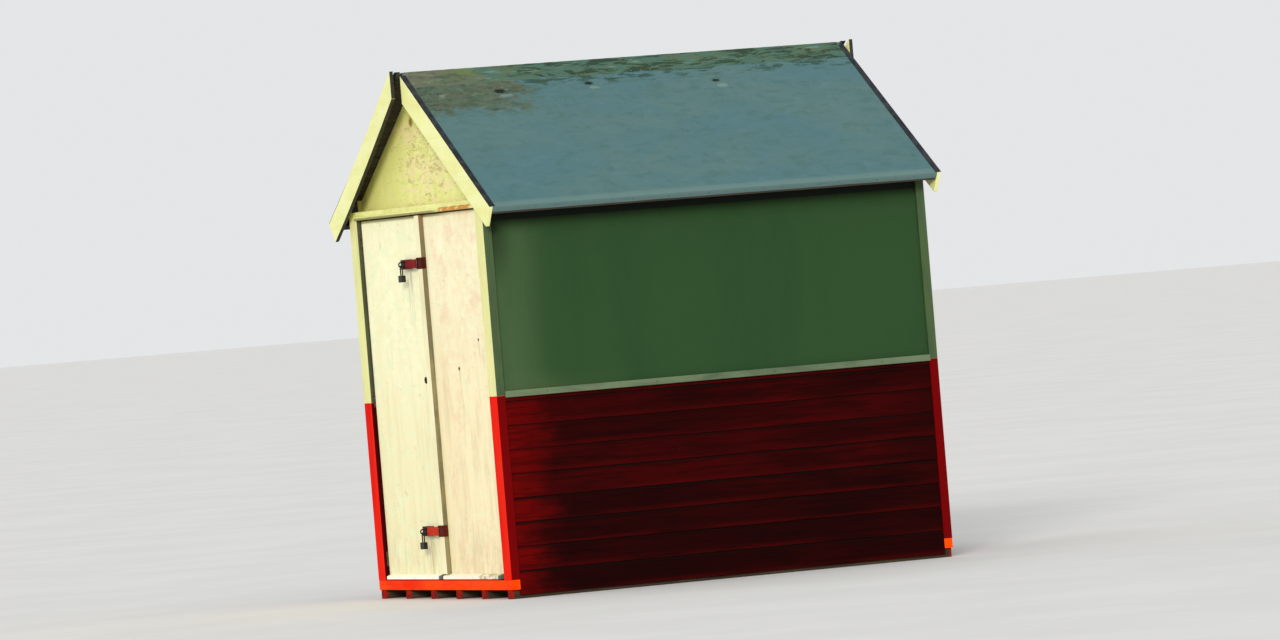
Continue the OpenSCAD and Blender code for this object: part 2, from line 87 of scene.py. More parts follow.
def spring(x):
    """How far the left verge boards have sprung from the roof at distance x from the middle."""
    marks = [-0.02 + 0.92 * i / 8 for i in range(9)]
    stands = [0.032 * ((0.9 - m) / 0.92) ** 1.5 for m in marks]
    for a, b, low, high in zip(marks, marks[1:], stands, stands[1:]):
        if a <= x <= b:
            return low + (high - low) * (x - a) / (b - a)
    return 0.0


def jitter(reach):
    """Random number between minus reach and reach."""
    return random.uniform(-reach, reach)


def wave(p, size, seed=0.0):
    """Smooth noise from -1 to 1 at point p."""
    return noise.noise(Vector((p[0] / size + seed, p[1] / size - seed, p[2] / size + 2 * seed)))


# Meshes

def placed(name, data):
    """Object with this data, in the scene."""
    thing = bpy.data.objects.new(name, data)
    bpy.context.scene.collection.objects.link(thing)
    return thing


class Shape:
    """Points and faces of one piece, gathered before it becomes an object."""

    def __init__(self):
        self.points = []
        self.faces = []

    def loft(self, rings):
        """Closed skin over rings with the same number of points each, capped at both ends."""
        base = len(self.points)
        n = len(rings[0])
        last = (len(rings) - 1) * n
        faces = []
        for start in range(0, last, n):
            for i in range(n):
                j = (i + 1) % n
                faces.append((start + i, start + j, start + n + j, start + n + i))
        faces.append(tuple(reversed(range(n))))
        faces.append(tuple(range(last, last + n)))
        self.points.extend(tuple(p) for ring in rings for p in ring)
        self.faces.extend(tuple(base + i for i in face) for face in faces)

    def head(self, centre, normal, radius=0.0034, height=0.0006, sides=8, flat=0.55):
        """Low domed head of a nail, screw or bolt."""
        n = Vector(normal).normalized()
        u = n.orthogonal().normalized()
        v = n.cross(u)
        turns = [2 * math.pi * i / sides for i in range(sides)]
        rings = []
        for r, h in ((1.0, -0.2), (1.0, 0.45), (flat, 0.95)):
            middle = Vector(centre) + n * (height * h)
            rings.append([middle + (u * math.cos(t) + v * math.sin(t)) * (radius * r) for t in turns])
        self.loft(rings)

    def build(self, name, body, finish, smooth=False, replaces=()):
        mesh = bpy.data.meshes.new(name)
        mesh.from_pydata(self.points, [], self.faces)
        mesh.validate()
        mesh.update()
        mesh.materials.append(MAT[finish])
        piece = placed(name, mesh)
        if smooth:
            mesh.shade_smooth()
            mesh.set_sharp_from_angle(angle=math.radians(35))
        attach(piece, body)
        if replaces:
            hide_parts(*replaces)


# Colours

def linear(c):
    """Linear value of a display value given from 0 to 255."""
    c = c / 255
    return c / 12.92 if c <= 0.04045 else ((c + 0.055) / 1.055) ** 2.4


def lit(light):
    """Gives the function for paint that shows as r, g, b where the light on it is that share of full."""
    def paint(r, g, b):
        return tuple(min(0.93, max(0.0012, linear(c) / light)) for c in (r, g, b))
    return paint


def shade(colour, much):
    return tuple(c * much for c in colour)


on_front = lit(1.08)
on_side = lit(1.4)
on_roof = lit(1.36)
on_gable = lit(1.07)

CREAM = on_front(240, 240, 156)
CREAM_DEEP = on_front(226, 224, 132)
MAROON_DEEP = on_side(42, 1, 2)
RED_UNDER = (0.2, 0.09, 0.05)
OLD_WOOD = (0.21, 0.15, 0.085)
PINE = (0.42, 0.27, 0.13)
PINE_DEEP = (0.31, 0.18, 0.08)


# Materials

EVEN = (1.0, 1.0, 1.0)
MAT = {}


def grain(along, much=0.05):
    """Stretch that draws a pattern out along one axis."""
    return tuple(much if axis == along else 1.0 for axis in "xyz")


class Graph:
    """A material's nodes, with one short call for each kind."""

    def __init__(self, name, specular=0.5, roughness=0.5):
        self.name = name
        self.material = bpy.data.materials.new(name)
        self.material.use_nodes = True
        self.tree = self.material.node_tree
        self.shader = self.tree.nodes["Principled BSDF"]
        self.shader.inputs["Roughness"].default_value = roughness
        self.shader.inputs["Specular IOR Level"].default_value = specular
        coordinates = self.node("TexCoord")
        self.place = coordinates.outputs["Object"]
        self.facing = coordinates.outputs["Normal"]
        self.colour = None
        self.height = None

    def node(self, kind, operation=None, **inputs):
        node = self.tree.nodes.new("ShaderNode" + kind)
        if operation:
            node.operation = operation
        for name, value in inputs.items():
            self.put(node.inputs[name], value)
        return node

    def put(self, socket, value):
        """Links or sets a socket. A colour of three numbers is opaque."""
        if isinstance(value, bpy.types.NodeSocket):
            self.tree.links.new(value, socket)
        elif socket.type == "RGBA":
            socket.default_value = (*value, 1.0)
        else:
            socket.default_value = value

    def calc(self, kind, *values, clamp=False):
        node = self.node("Math", kind)
        node.use_clamp = clamp
        for socket, value in zip(node.inputs, values):
            self.put(socket, value)
        return node.outputs[0]

    def abs(self, value):
        return self.calc("ABSOLUTE", value)

    def times(self, value, much):
        return self.calc("MULTIPLY", value, much)

    def minus(self, value, less):
        return self.calc("SUBTRACT", value, less)

    def plus(self, value, more, much=None):
        """value with more added to it, or much times more."""
        return self.calc("ADD", value, more if much is None else self.times(more, much))

    def either(self, a, b):
        return self.calc("MAXIMUM", a, b)

    def both(self, *shares):
        out = shares[0]
        for share in shares[1:]:
            out = self.times(out, share)
        return out

    def stretch(self, scale, shift):
        node = self.node("VectorMath", "MULTIPLY_ADD")
        self.put(node.inputs[0], self.place)
        node.inputs[1].default_value = scale
        node.inputs[2].default_value = shift
        return node.outputs[0]

    def noise(self, size, detail=4, rough=0.6, stretch=EVEN, shift=0.0, warp=0.0):
        """Noise from 0 to 1 whose features are about size metres wide."""
        place = self.stretch(stretch, (shift, shift * 0.7, -shift))
        node = self.node("TexNoise", Vector=place, Scale=1.0 / size, Detail=detail, Roughness=rough,
                         Distortion=warp)
        return node.outputs["Fac"]

    def blots(self, low, high, *sizes, **more):
        """Noise that goes from 0 at low to 1 at high. The rest is as for noise."""
        return self.rise(self.noise(*sizes, **more), low, high)

    def rag(self, *sizes, **more):
        """Noise from -0.5 to 0.5. What is given is as for noise."""
        return self.minus(self.noise(*sizes, **more), 0.5)

    def cells(self, size, stretch, shift):
        """Distance to the nearest of scattered points, in cells of about size metres."""
        place = self.stretch(stretch, (shift, shift, shift))
        node = self.node("TexVoronoi", Vector=place, Scale=1.0 / size)
        return node.outputs["Distance"]

    def rise(self, value, low, high):
        """0 below low, 1 above high, smooth between; low may be above high."""
        node = self.node("MapRange", Value=value)
        node.interpolation_type = "SMOOTHSTEP"
        numbers = (low, high, 0.0, 1.0) if low < high else (high, low, 1.0, 0.0)
        for name, number in zip(("From Min", "From Max", "To Min", "To Max"), numbers):
            node.inputs[name].default_value = number
        return node.outputs["Result"]

    def mix(self, share, a, b, most=None, kind="MIX"):
        """Colour a with b on it by share, or by most times share."""
        node = self.node("Mix")
        node.data_type = "RGBA"
        node.blend_type = kind
        self.put(node.inputs[0], share if most is None else self.times(share, most))
        self.put(node.inputs[6], a)
        self.put(node.inputs[7], b)
        return node.outputs[2]

    def coat(self, share, over, most=None, kind="MIX"):
        """Lays a colour on the material's own, by share or by most times share."""
        self.colour = self.mix(share, self.colour, over, most, kind)

    def parts(self, source=None):
        node = self.node("SeparateXYZ")
        self.put(node.inputs[0], source or self.place)
        return tuple(node.outputs)

    def sideways(self):
        """1 on faces that look to the left or right."""
        return self.rise(self.abs(self.parts(self.facing)[0]), 0.6, 0.8)

    def room_side(self, axis, limit):
        """1 where a wall's faces lie nearer to the room than limit, measured along one axis."""
        return self.rise(self.abs(self.parts()[axis]), limit + 0.0006, limit - 0.0002)

    def spot(self, centre, radius, soft):
        """1 inside a ball round centre, 0 outside, with a soft edge."""
        node = self.node("VectorMath", "DISTANCE")
        self.put(node.inputs[0], self.place)
        node.inputs[1].default_value = centre
        return self.rise(node.outputs["Value"], radius * (1 + soft), radius * (1 - soft))

    def stray(self, centre, scale):
        """Distance from centre, measured with each axis scaled."""
        node = self.node("VectorMath", "LENGTH")
        self.put(node.inputs[0], self.stretch(scale, tuple(-c * k for c, k in zip(centre, scale))))
        return node.outputs["Value"]

    def relief(self, value, depth):
        """Adds value, times depth in metres, to the height that the bump node reads."""
        add = self.times(value, depth)
        self.height = add if self.height is None else self.plus(self.height, add)

    def finish(self, roughness=None):
        self.put(self.shader.inputs["Base Color"], self.colour)
        if roughness is not None:
            self.put(self.shader.inputs["Roughness"], roughness)
        if self.height is not None:
            bump = self.node("Bump", Strength=1.0, Distance=1.0, Height=self.height)
            self.put(self.shader.inputs["Normal"], bump.outputs["Normal"])
        MAT[self.name] = self.material


def painted(name, main, second, under, along, wear, dirt, mottle=0.15, rough=0.5, shift=0.0,
            extra=None, specular=0.4, streak=0.5, depth=1.0):
    """Painted timber: brushed paint that has worn to what is under it, with dirt that runs down."""
    g = Graph(name, specular)
    soft = grain(along, 0.25)
    brush = g.noise(0.012, 5, 0.65, grain(along), shift)
    bristle = g.noise(0.0035, 3, 0.6, grain(along), shift + 3.1)
    cloud = g.noise(mottle, 5, 0.6, soft, shift + 7.7, 0.4)
    g.colour = g.mix(g.rise(cloud, 0.38, 0.66), main, second)
    g.coat(g.rise(brush, 0.48, 0.8), shade(second, 0.72), streak)
    patch = g.blots(0.66 - 0.16 * wear, 0.76 - 0.16 * wear, 0.11, 6, 0.68, soft, shift + 11.3, 0.6)
    worn = g.both(patch, g.blots(0.44, 0.54, 0.02, 5, 0.7, soft, shift + 17.9, 0.3))
    g.coat(worn, under)
    grime = g.both(g.blots(0.42, 0.72, 0.045, stretch=grain("z", 0.12), shift=shift + 1.9),
                   g.blots(0.3, 0.62, 0.3, shift=shift + 5.5))
    g.coat(grime, (0.11, 0.09, 0.055), dirt)
    if extra:
        extra(g)
    g.relief(brush, 0.0009 * depth)
    g.relief(bristle, 0.0003 * depth)
    g.relief(worn, -0.0007)
    g.finish(g.plus(g.times(g.plus(worn, cloud), 0.16), rough - 0.08))


def timber(name, main, second, along="z", shift=0.0, rough=0.6, extra=None, specular=0.3):
    """Bare sawn timber with growth rings, pores and a few knots."""
    g = Graph(name, specular)
    bend = g.noise(0.09, 3, 0.5, grain(along, 0.3), shift + 2.2)
    ring = g.noise(0.016, 4, 0.55, grain(along), shift, 0.8)
    pore = g.noise(0.0028, 2, 0.6, grain(along), shift + 4.4)
    bands = g.calc("FRACT", g.calc("MULTIPLY_ADD", ring, 5.0, 0.5))
    knot = g.rise(g.cells(0.16, grain(along, 0.45), shift), 0.075, 0.03)
    g.colour = g.mix(g.rise(ring, 0.35, 0.65), main, second)
    g.coat(g.rise(bands, 0.55, 1.0), shade(second, 0.6), 0.35)
    g.coat(g.rise(bend, 0.45, 0.75), shade(main, 0.55), 0.5)
    g.coat(knot, shade(second, 0.3))
    g.coat(g.rise(pore, 0.6, 0.75), shade(main, 0.4), 0.3)
    if extra:
        extra(g)
    g.relief(ring, 0.0008)
    g.relief(pore, 0.0004)
    g.finish(g.calc("MULTIPLY_ADD", pore, 0.3, rough))


def metal(name, main, rust, amount, rough, metallic, shift, specular=0.5):
    """Iron or steel with rust in blotches and a pitted face."""
    g = Graph(name, specular)
    pit = g.noise(0.0016, 3, 0.65, shift=shift + 2)
    rusty = g.blots(0.62 - 0.3 * amount, 0.72 - 0.25 * amount, 0.012, 6, 0.7, shift=shift, warp=0.4)
    tone = g.mix(g.rise(pit, 0.3, 0.7), rust, shade(rust, 0.5))
    g.put(g.shader.inputs["Metallic"], g.calc("SUBTRACT", metallic, g.times(rusty, metallic), clamp=True))
    g.relief(pit, 0.0004)
    g.relief(rusty, 0.0003)
    g.colour = g.mix(rusty, main, tone)
    g.finish(g.plus(g.times(rusty, 0.4), rough))


def bare_face(g, along, shift):
    """Colour of a bare sawn or plywood face with its grain along one axis."""
    bare = g.mix(g.blots(0.35, 0.65, 0.016, 4, 0.55, grain(along), shift, 0.8), PINE, PINE_DEEP)
    pores = g.blots(0.58, 0.75, 0.003, 2, 0.6, grain(along), shift + 2.3)
    return g.mix(pores, bare, (0.16, 0.09, 0.04), 0.35)


def plain_inside(g, axis, limit):
    """The wall's faces towards the room are bare."""
    g.coat(g.room_side(axis, limit), bare_face(g, "yx"[axis], 8.1))


# What is special on the faces of single pieces, painted over the plain finish

def post_faces(g):
    """Shares of a corner post's faces to the side, to the doorway and to the room."""
    turned = g.sideways()
    x, y, z = g.parts()
    behind = g.rise(g.abs(y), 1.1785, 1.1765)
    outer = g.both(turned, g.rise(g.abs(x), 0.9125, 0.9145))
    side = g.either(outer, g.both(behind, g.rise(g.abs(x), 0.899, 0.901)))
    doorway = g.both(turned, g.rise(g.abs(x), 0.82, 0.816))
    return side, doorway, g.both(behind, g.rise(g.abs(x), 0.901, 0.899))


def upper_post(g):
    """The upper posts are green at the side, and near-black olive in the doorway: painted shade of the gap
    beside the leaf.
    """
    side, doorway, room = post_faces(g)
    cloud = g.blots(0.4, 0.7, 0.05, stretch=grain("z", 0.2), shift=3.3)
    g.coat(side, g.mix(cloud, on_side(68, 92, 48), on_side(54, 80, 42)))
    # Painted shade: the faces towards the doorway are dark olive, as the gap beside the leaf lies in shade.
    g.coat(doorway, g.mix(cloud, (0.045, 0.05, 0.016), (0.028, 0.03, 0.01)))
    g.coat(room, PINE)


def lower_post(g):
    """The lower posts are a darker red at the side, and darker still in the doorway: painted shade of the
    gap beside the leaf.
    """
    side, doorway, room = post_faces(g)
    g.coat(side, on_side(118, 4, 8))
    # Painted shade: the faces towards the doorway are dark red, as the gap beside the leaf lies in shade.
    g.coat(doorway, on_side(64, 4, 6))
    g.coat(room, PINE)


def leaf_marks(g, right):
    """Stains, drips and dark marks of one door leaf, and a painted shadow along its top under the door head.
    """
    def pick(for_right, for_left):
        return for_right if right else for_left

    x, y, z = g.parts()
    sheet = g.noise(0.11, 5, 0.62, (0.65, 1, 0.38), pick(21, 12), 0.5)
    fall = g.rise(g.plus(z, sheet, 0.5), pick(2.0, 1.75), pick(1.1, 0.8))
    g.coat(fall, pick((0.975, 0.91, 0.83), (0.93, 0.88, 0.8)), kind="MULTIPLY")
    if right:
        middle = g.both(g.rise(x, 0.8, 0.74), g.rise(x, 0.09, 0.17))
    else:
        middle = g.rise(x, -0.79, -0.7)
    fleck = g.blots(0.34, 0.6, 0.03, 5, 0.7, (0.5, 1, 0.8), pick(27, 15))
    share = g.both(g.rise(sheet, 0.34, 0.58), fleck, middle)
    g.coat(share, pick(on_front(244, 230, 186), on_front(240, 235, 184)), pick(1.0, 0.75))
    rose = g.both(g.blots(0.52, 0.66, 0.08, 4, 0.6, (0.5, 1, 0.6), 51), middle)
    g.coat(rose, on_front(240, 210, 172), pick(0.6, 0.15))
    mild = g.blots(0.5, 0.62, 0.05, 5, 0.65, (0.4, 1, 0.8), 61, 0.6)
    g.coat(mild, on_front(236, 242, 198), pick(0.35, 0.8))
    smudge = g.blots(0.6, 0.68, 0.035, 5, 0.7, (0.5, 1, 0.8), 57)
    g.coat(smudge, on_front(206, 196, 152), 0.4)
    brushed = g.blots(0.48, 0.64, 0.07, 4, 0.65, grain("z", 0.16), pick(91, 95), 0.3)
    brushed = g.both(brushed, g.rise(z, 1.6, 1.0), middle)
    g.coat(brushed, pick(on_front(226, 200, 156), on_front(224, 216, 164)), pick(0.55, 0.35))
    splash = g.both(g.rise(z, 0.5, 0.12), g.blots(0.4, 0.72, 0.05, 5, 0.65, grain("z", 0.3), 31))
    g.coat(splash, on_front(196, 176, 128), 0.45)
    drip = g.blots(0.55, 0.75, 0.03, 4, 0.6, grain("z"), 41)
    drip = g.both(drip, g.blots(0.42, 0.6, 0.2, 3, 0.6, shift=9))
    g.coat(drip, on_front(190, 170, 120), 0.14)
    marks = bolt_marks if right else hasp_drips
    marks(g, x, z)
    # Painted shadow: a dark olive line along the top of the leaf, from the left, under the door head.
    top = g.both(g.rise(z, 1.944, 1.953), g.rise(x, 0.5, 0.2))
    g.coat(top, on_front(150, 142, 84), 0.8)
    g.coat(g.sideways(), (0.3, 0.25, 0.14))
    back = g.rise(y, LEAF_Y + 0.0112, LEAF_Y + 0.0118)
    g.coat(back, bare_face(g, "z", 6.0))


def bolt_marks(g, x, z):
    """Rust round the right leaf's two bolts, and its trails."""
    for (bolt_x, bolt_z), radius in zip(LEAF_BOLTS, (0.011, 0.008)):
        g.coat(g.spot((bolt_x, LEAF_Y, bolt_z), radius, 0.6), (0.12, 0.06, 0.03), 0.7)
        trail = g.both(g.rise(g.abs(g.minus(x, bolt_x)), 0.008, 0.003),
                       g.rise(z, bolt_z + 0.003, bolt_z - 0.004), g.rise(z, bolt_z - 0.12, bolt_z - 0.02))
        g.coat(trail, (0.35, 0.2, 0.08), 0.35)


def hasp_drips(g, x, z):
    """Rust that has run down the left leaf under its hasps."""
    for hasp_z in (0.315, 1.68):
        trail = g.both(g.rise(g.abs(g.plus(x, 0.182)), 0.05, 0.02), g.rise(z, hasp_z, hasp_z - 0.01),
                       g.rise(z, hasp_z - 0.34, hasp_z - 0.08),
                       g.blots(0.4, 0.6, 0.012, 3, 0.6, grain("z", 0.06), 5))
        g.coat(trail, (0.3, 0.2, 0.09), 0.45)


def strip_sides(g):
    """The batten's right face: brown above, olive below."""
    cloud = g.noise(0.07, 5, 0.65, grain("z", 0.25), 6)
    level = g.plus(g.parts()[2], cloud, 0.5)
    tone = g.mix(g.rise(level, 1.45, 1.75), on_side(146, 134, 92), on_side(146, 112, 82))
    tone = g.mix(g.rise(cloud, 0.45, 0.62), tone, on_side(116, 108, 74))
    g.coat(g.sideways(), tone)


def verge_edge_shade(g):
    """The lower edges and plumb cuts of the verge boards are near black: painted shade on faces turned down
    or to the side.
    """
    x, y, z = g.parts(g.facing)
    edges = g.either(g.rise(z, -0.55, -0.7), g.rise(g.abs(x), 0.9, 0.95))
    dark = g.mix(g.blots(0.4, 0.65, 0.03, shift=9), (0.01, 0.009, 0.007), (0.022, 0.019, 0.012))
    # Painted shade on the verges' lower edges and end cuts.
    g.coat(edges, dark)


def bar_stain_and_shade(g):
    """The weather bars: painted shade where the leaves meet and at the right end, and a brown stain before
    it.
    """
    x, y, z = g.parts()
    rough_x = g.plus(x, g.noise(0.02, 4, 0.65, shift=3), 0.03)
    brown = g.both(g.rise(rough_x, 0.47, 0.54), g.blots(0.36, 0.56, 0.03, 5, 0.7, grain("x", 0.4), 6))
    g.coat(brown, on_front(186, 168, 112), 0.9)
    # Painted shade: dark at the gap between the bars and at the right bar's end.
    dark = g.either(g.rise(rough_x, 0.752, 0.768), g.rise(g.abs(g.plus(x, 0.03)), 0.034, 0.02))
    g.coat(dark, (0.035, 0.04, 0.022), 0.95)


def board_tone(g, axis):
    """Each lower wall board has its own tone and a painted shade line in its top groove, and is bare inside.

    axis is the way the boards run: 1 for the side walls, 0 for the back.
    """
    side_wall = axis == 1
    limit = FRAME_X if side_wall else BACK_Y
    low = SIDE_BOARD_Z if side_wall else BACK_BOARD_Z
    lie = grain("xy"[axis])
    place = g.parts()
    row = g.calc("DIVIDE", g.minus(place[2], low), BOARD_COVER)
    part = g.calc("FRACT", row)
    up = g.times(part, BOARD_COVER)
    join = g.node("CombineXYZ", X=g.times(g.calc("FLOOR", row), 7.31), Y=g.times(place[axis], 0.9))
    tone = g.node("TexNoise", Vector=join.outputs[0], Scale=1.0)
    g.coat(g.rise(tone.outputs["Fac"], 0.34, 0.66), MAROON_DEEP)
    if side_wall:
        # Painted light and shade: the side boards are redder near the front and darker low down further
        # back.
        front_light = g.plus(place[1], g.noise(0.2, 4, 0.6, grain("z", 2), 77), 0.4)
        g.coat(g.rise(front_light, -0.66, -1.0), on_side(112, 1, 3), 0.9)
        deep = g.both(g.rise(place[2], 0.7, 0.25), g.rise(front_light, -1.0, -0.7))
        g.coat(deep, on_side(26, 1, 2), 0.65)
    lines = g.blots(0.47, 0.62, 0.022, 5, 0.68, lie, 79, 0.3)
    g.coat(lines, (0.0055, 0.0012, 0.0012), 0.5)
    bleed = g.both(g.rise(up, 0.035, 0.002), g.blots(0.35, 0.6, 0.03, 4, 0.6, lie, 71))
    g.coat(bleed, on_side(92, 6, 8), 0.4)
    # Painted shade: the top groove under each board's lip is darkened, in broken lines.
    groove = g.rise(g.plus(up, g.noise(0.02, 4, 0.6, lie, 73), 0.004), 0.1085, 0.1135)
    broken = g.blots(0.36, 0.62, 0.12, 5, 0.7, lie, 75)
    groove = g.times(groove, g.plus(g.times(broken, 0.55), 0.35))
    g.coat(groove, (0.006, 0.0035, 0.003))
    plain_inside(g, 1 - axis, limit)
    joint = g.both(g.rise(g.abs(g.minus(part, 0.5)), 0.486, 0.494), g.room_side(1 - axis, limit))
    g.coat(joint, (0.03, 0.017, 0.008), 0.8)


def sheet_tone(g):
    """The green side sheets: bare inside, with painted shade that makes them darker and bluer away from the
    front and darker in the top front corner, and a painted shadow under the eave.
    """
    x, y, z = g.parts()
    drift = g.times(g.noise(0.5, 3, 0.5, grain("z", 0.3), 81), 0.5)
    # Painted shade: darker and bluer away from the front.
    g.coat(g.rise(g.plus(y, drift), -0.96, -0.56), on_side(40, 74, 38), 0.82)
    low = g.both(g.rise(g.plus(z, drift, 0.4), 1.26, 1.08), g.rise(y, -0.4, -0.9))
    g.coat(low, on_side(82, 104, 66), 0.6)
    # Painted shade: darker in the top front corner.
    corner = g.both(g.rise(g.plus(y, drift, 0.1), -1.02, -1.14), g.rise(z, 1.5, 1.85))
    g.coat(corner, on_side(34, 50, 22), 0.7)
    # Painted shadow under the eave: a dark olive fade, then a near-black band at the top.
    rag = g.times(g.rag(0.08, 5, 0.65, shift=83), 0.03)
    g.coat(g.rise(g.plus(z, rag), 1.8, 1.9), on_side(30, 50, 18), 0.7)
    g.coat(g.rise(g.plus(z, rag, 0.3), 1.888, 1.899), (0.006, 0.008, 0.005), 0.93)
    plain_inside(g, 0, FRAME_X)
    ends = g.both(g.rise(g.abs(y), 1.149, 1.15), g.room_side(0, FRAME_X))
    g.coat(ends, on_gable(214, 208, 120))


def rail_inside(g):
    """The rails are bare towards the room."""
    g.coat(g.both(g.room_side(0, FRAME_X), g.room_side(1, BACK_Y)), PINE)


def plinth_inside(g):
    """The back plinth is bare behind the boards."""
    x, y, z = g.parts()
    behind = g.both(g.rise(y, 0.0, 1.0), g.rise(y, BACK_Y + 0.0006, BACK_Y - 0.0002))
    within = g.rise(g.abs(x), FRAME_X - 0.002, FRAME_X - 0.006)
    g.coat(g.both(behind, within), bare_face(g, "x", 4.0))


def drip_stain_and_shadow(g):
    """The front drip board: orange brown stain blotches on its right part, and a painted shadow in olive
    along its lower edge on the left.
    """
    x, y, z = g.parts()
    front = g.rise(y, 0.0, -1.0)
    blotch = g.blots(0.36, 0.5, 0.06, 5, 0.65, shift=2)
    stain = g.both(g.rise(x, 0.3, 0.4), g.rise(x, 0.82, 0.74), blotch, front)
    g.coat(stain, on_front(200, 130, 34))
    # Painted shadow: olive along the lower edge of the drip on its left part.
    lower = g.both(g.rise(z, 1.9805, 1.9765), g.rise(x, 0.4, 0.25), front)
    g.coat(lower, on_front(128, 120, 58), 0.85)


def gable_marks(g):
    """Blotches of worn and mouldy paint, strongest at the right middle, the brown mark near the top, and
    painted shade on the left part.
    """
    x, y, z = g.parts()
    cloud = g.noise(0.07, 6, 0.7, grain("x", 0.38), 33, 0.6)
    bits = g.noise(0.022, 5, 0.7, grain("x", 0.4), 36, 0.4)
    zone = g.rise(g.stray((0.1, -1.15, 2.26), (0.8, 0.0, 1.4)), 0.56, 0.1)
    lean = g.calc("MULTIPLY_ADD", zone, 0.07, 0.012)
    lime = g.blots(0.5, 0.62, 0.1, 4, 0.6, grain("x", 0.5), 47, 0.5)
    g.coat(lime, on_gable(228, 232, 128), 0.5)
    pale = g.both(g.rise(g.plus(cloud, lean), 0.53, 0.62), g.rise(bits, 0.38, 0.5))
    g.coat(pale, on_gable(242, 224, 166), 0.85)
    blot = g.noise(0.04, 6, 0.72, grain("x", 0.38), 39, 0.7)
    dark = g.both(g.rise(g.plus(blot, lean), 0.56, 0.62), g.rise(bits, 0.46, 0.56))
    g.coat(dark, on_gable(184, 172, 96), 0.7)
    speck = g.rise(g.plus(g.noise(0.018, 4, 0.65, grain("x", 0.4), 45), lean, 0.6), 0.68, 0.73)
    g.coat(speck, on_gable(142, 126, 70), 0.75)
    # Painted shade: the left part of the gable is darker.
    g.coat(g.rise(g.plus(x, cloud, 0.3), 0.0, -0.3), on_gable(220, 218, 130), 0.6)
    mark = g.both(g.spot((-0.12, -1.15, 2.44), 0.024, 0.5), g.rise(bits, 0.3, 0.45))
    g.coat(mark, on_gable(140, 96, 30), 0.9)
    g.relief(pale, -0.0006)
    g.relief(speck, -0.0005)
    back = g.rise(g.abs(y), GABLE_Y + 0.0006, GABLE_Y)
    g.coat(back, bare_face(g, "x", 6.0))


def soffit_shade(g):
    """The roof boards are near black where they reach past the walls: painted shade on the soffit, with a
    mottle.
    """
    x, y, z = g.parts()
    rag = g.times(g.noise(0.03, shift=6), 0.004)
    past = g.either(g.rise(g.plus(g.abs(x), rag), 0.9015, 0.9045),
                    g.rise(g.plus(g.abs(y), rag), 1.1425, 1.1455))
    old = g.blots(0.4, 0.7, 0.02, 5, 0.65, grain("y"), 4)
    # Painted shade on the soffit past the walls.
    g.coat(past, g.mix(old, (0.022, 0.017, 0.013), (0.045, 0.034, 0.024)))


def stop_faces(g):
    """The door stops show as a dark olive line at the left, painted shade of the gap beside the leaf, and a
    brown one at the right.
    """
    x, y, z = g.parts()
    # Painted shade: dark olive on the left door stop.
    line = g.mix(g.rise(x, -0.1, 0.1), (0.05, 0.055, 0.02), (0.34, 0.19, 0.08))
    line = g.mix(g.noise(0.03, 4, 0.6, grain("z"), 4), line, (0.03, 0.03, 0.014), 0.6)
    g.coat(g.rise(y, -1.184, -1.186), line)


def plate_ends(g):
    """The ends of the wall plates are near black where they show past the gable: painted shade under the
    roof overhang.
    """
    g.coat(g.rise(g.abs(g.parts()[1]), GABLE_Y - 0.002, GABLE_Y), (0.022, 0.017, 0.012))


def bearer_ends(g):
    """The ends of the bearers are red, as the plinths are."""
    edge = g.plus(g.abs(g.parts()[1]), g.noise(0.02), 0.03)
    red = g.mix(g.blots(0.4, 0.6, 0.02, 5, 0.65, shift=3), on_front(160, 22, 14), on_front(96, 30, 20))
    g.coat(g.rise(edge, 1.215, 1.228), red)


# The painted, timber and metal finishes

painted("cream_yellow_paint", CREAM, CREAM_DEEP, OLD_WOOD, "z", 0.25, 0.3)
painted("upper_post_paint", on_front(236, 230, 160), on_front(222, 226, 146), OLD_WOOD, "z", 0.2, 0.14,
        shift=2, extra=upper_post)
painted("verge_paint", on_front(240, 242, 172), on_front(234, 233, 152), OLD_WOOD, "x", 0.14, 0.06, 0.1,
        shift=4, streak=0.2, extra=verge_edge_shade, depth=0.5)
painted("drip_paint", CREAM, CREAM_DEEP, OLD_WOOD, "x", 0.2, 0.2, shift=5, extra=drip_stain_and_shadow)
painted("head_paint", CREAM, CREAM_DEEP, OLD_WOOD, "x", 0.2, 0.2, shift=6)
painted("gable_paint", on_gable(236, 237, 148), on_gable(224, 222, 134), OLD_WOOD, "z", 0.05, 0.04, 0.09,
        shift=8, extra=gable_marks, streak=0.03, depth=0.2)
painted("left_leaf_paint", on_front(253, 250, 210), on_front(248, 243, 198), OLD_WOOD, "z", 0.0, 0.03, 0.3,
        shift=10, extra=lambda g: leaf_marks(g, False), streak=0.03, depth=0.35)
painted("right_leaf_paint", on_front(253, 246, 208), on_front(248, 236, 194), OLD_WOOD, "z", 0.04, 0.03, 0.3,
        shift=13, extra=lambda g: leaf_marks(g, True), streak=0.04, depth=0.35)
painted("bar_paint", on_front(255, 255, 238), on_front(252, 244, 214), OLD_WOOD, "x", 0.15, 0.12,
        shift=15, extra=bar_stain_and_shade, streak=0.2)
painted("strip_paint", on_front(249, 244, 202), on_front(240, 230, 180), OLD_WOOD, "z", 0.25, 0.25,
        shift=16, extra=strip_sides)
painted("red_paint", on_front(250, 73, 4), on_front(240, 40, 4), RED_UNDER, "x", 0.15, 0.15,
        shift=18, specular=0.014, streak=0.3, extra=plinth_inside)
painted("red_post_paint", on_front(236, 30, 6), on_front(216, 16, 6), RED_UNDER, "z", 0.1, 0.15,
        shift=20, specular=0.014, streak=0.3, extra=lower_post)
painted("grey_green_paint", on_side(112, 130, 98), on_side(86, 104, 78), (0.2, 0.17, 0.11), "y", 0.25, 0.3,
        0.12, shift=30, specular=0.15, extra=rail_inside)
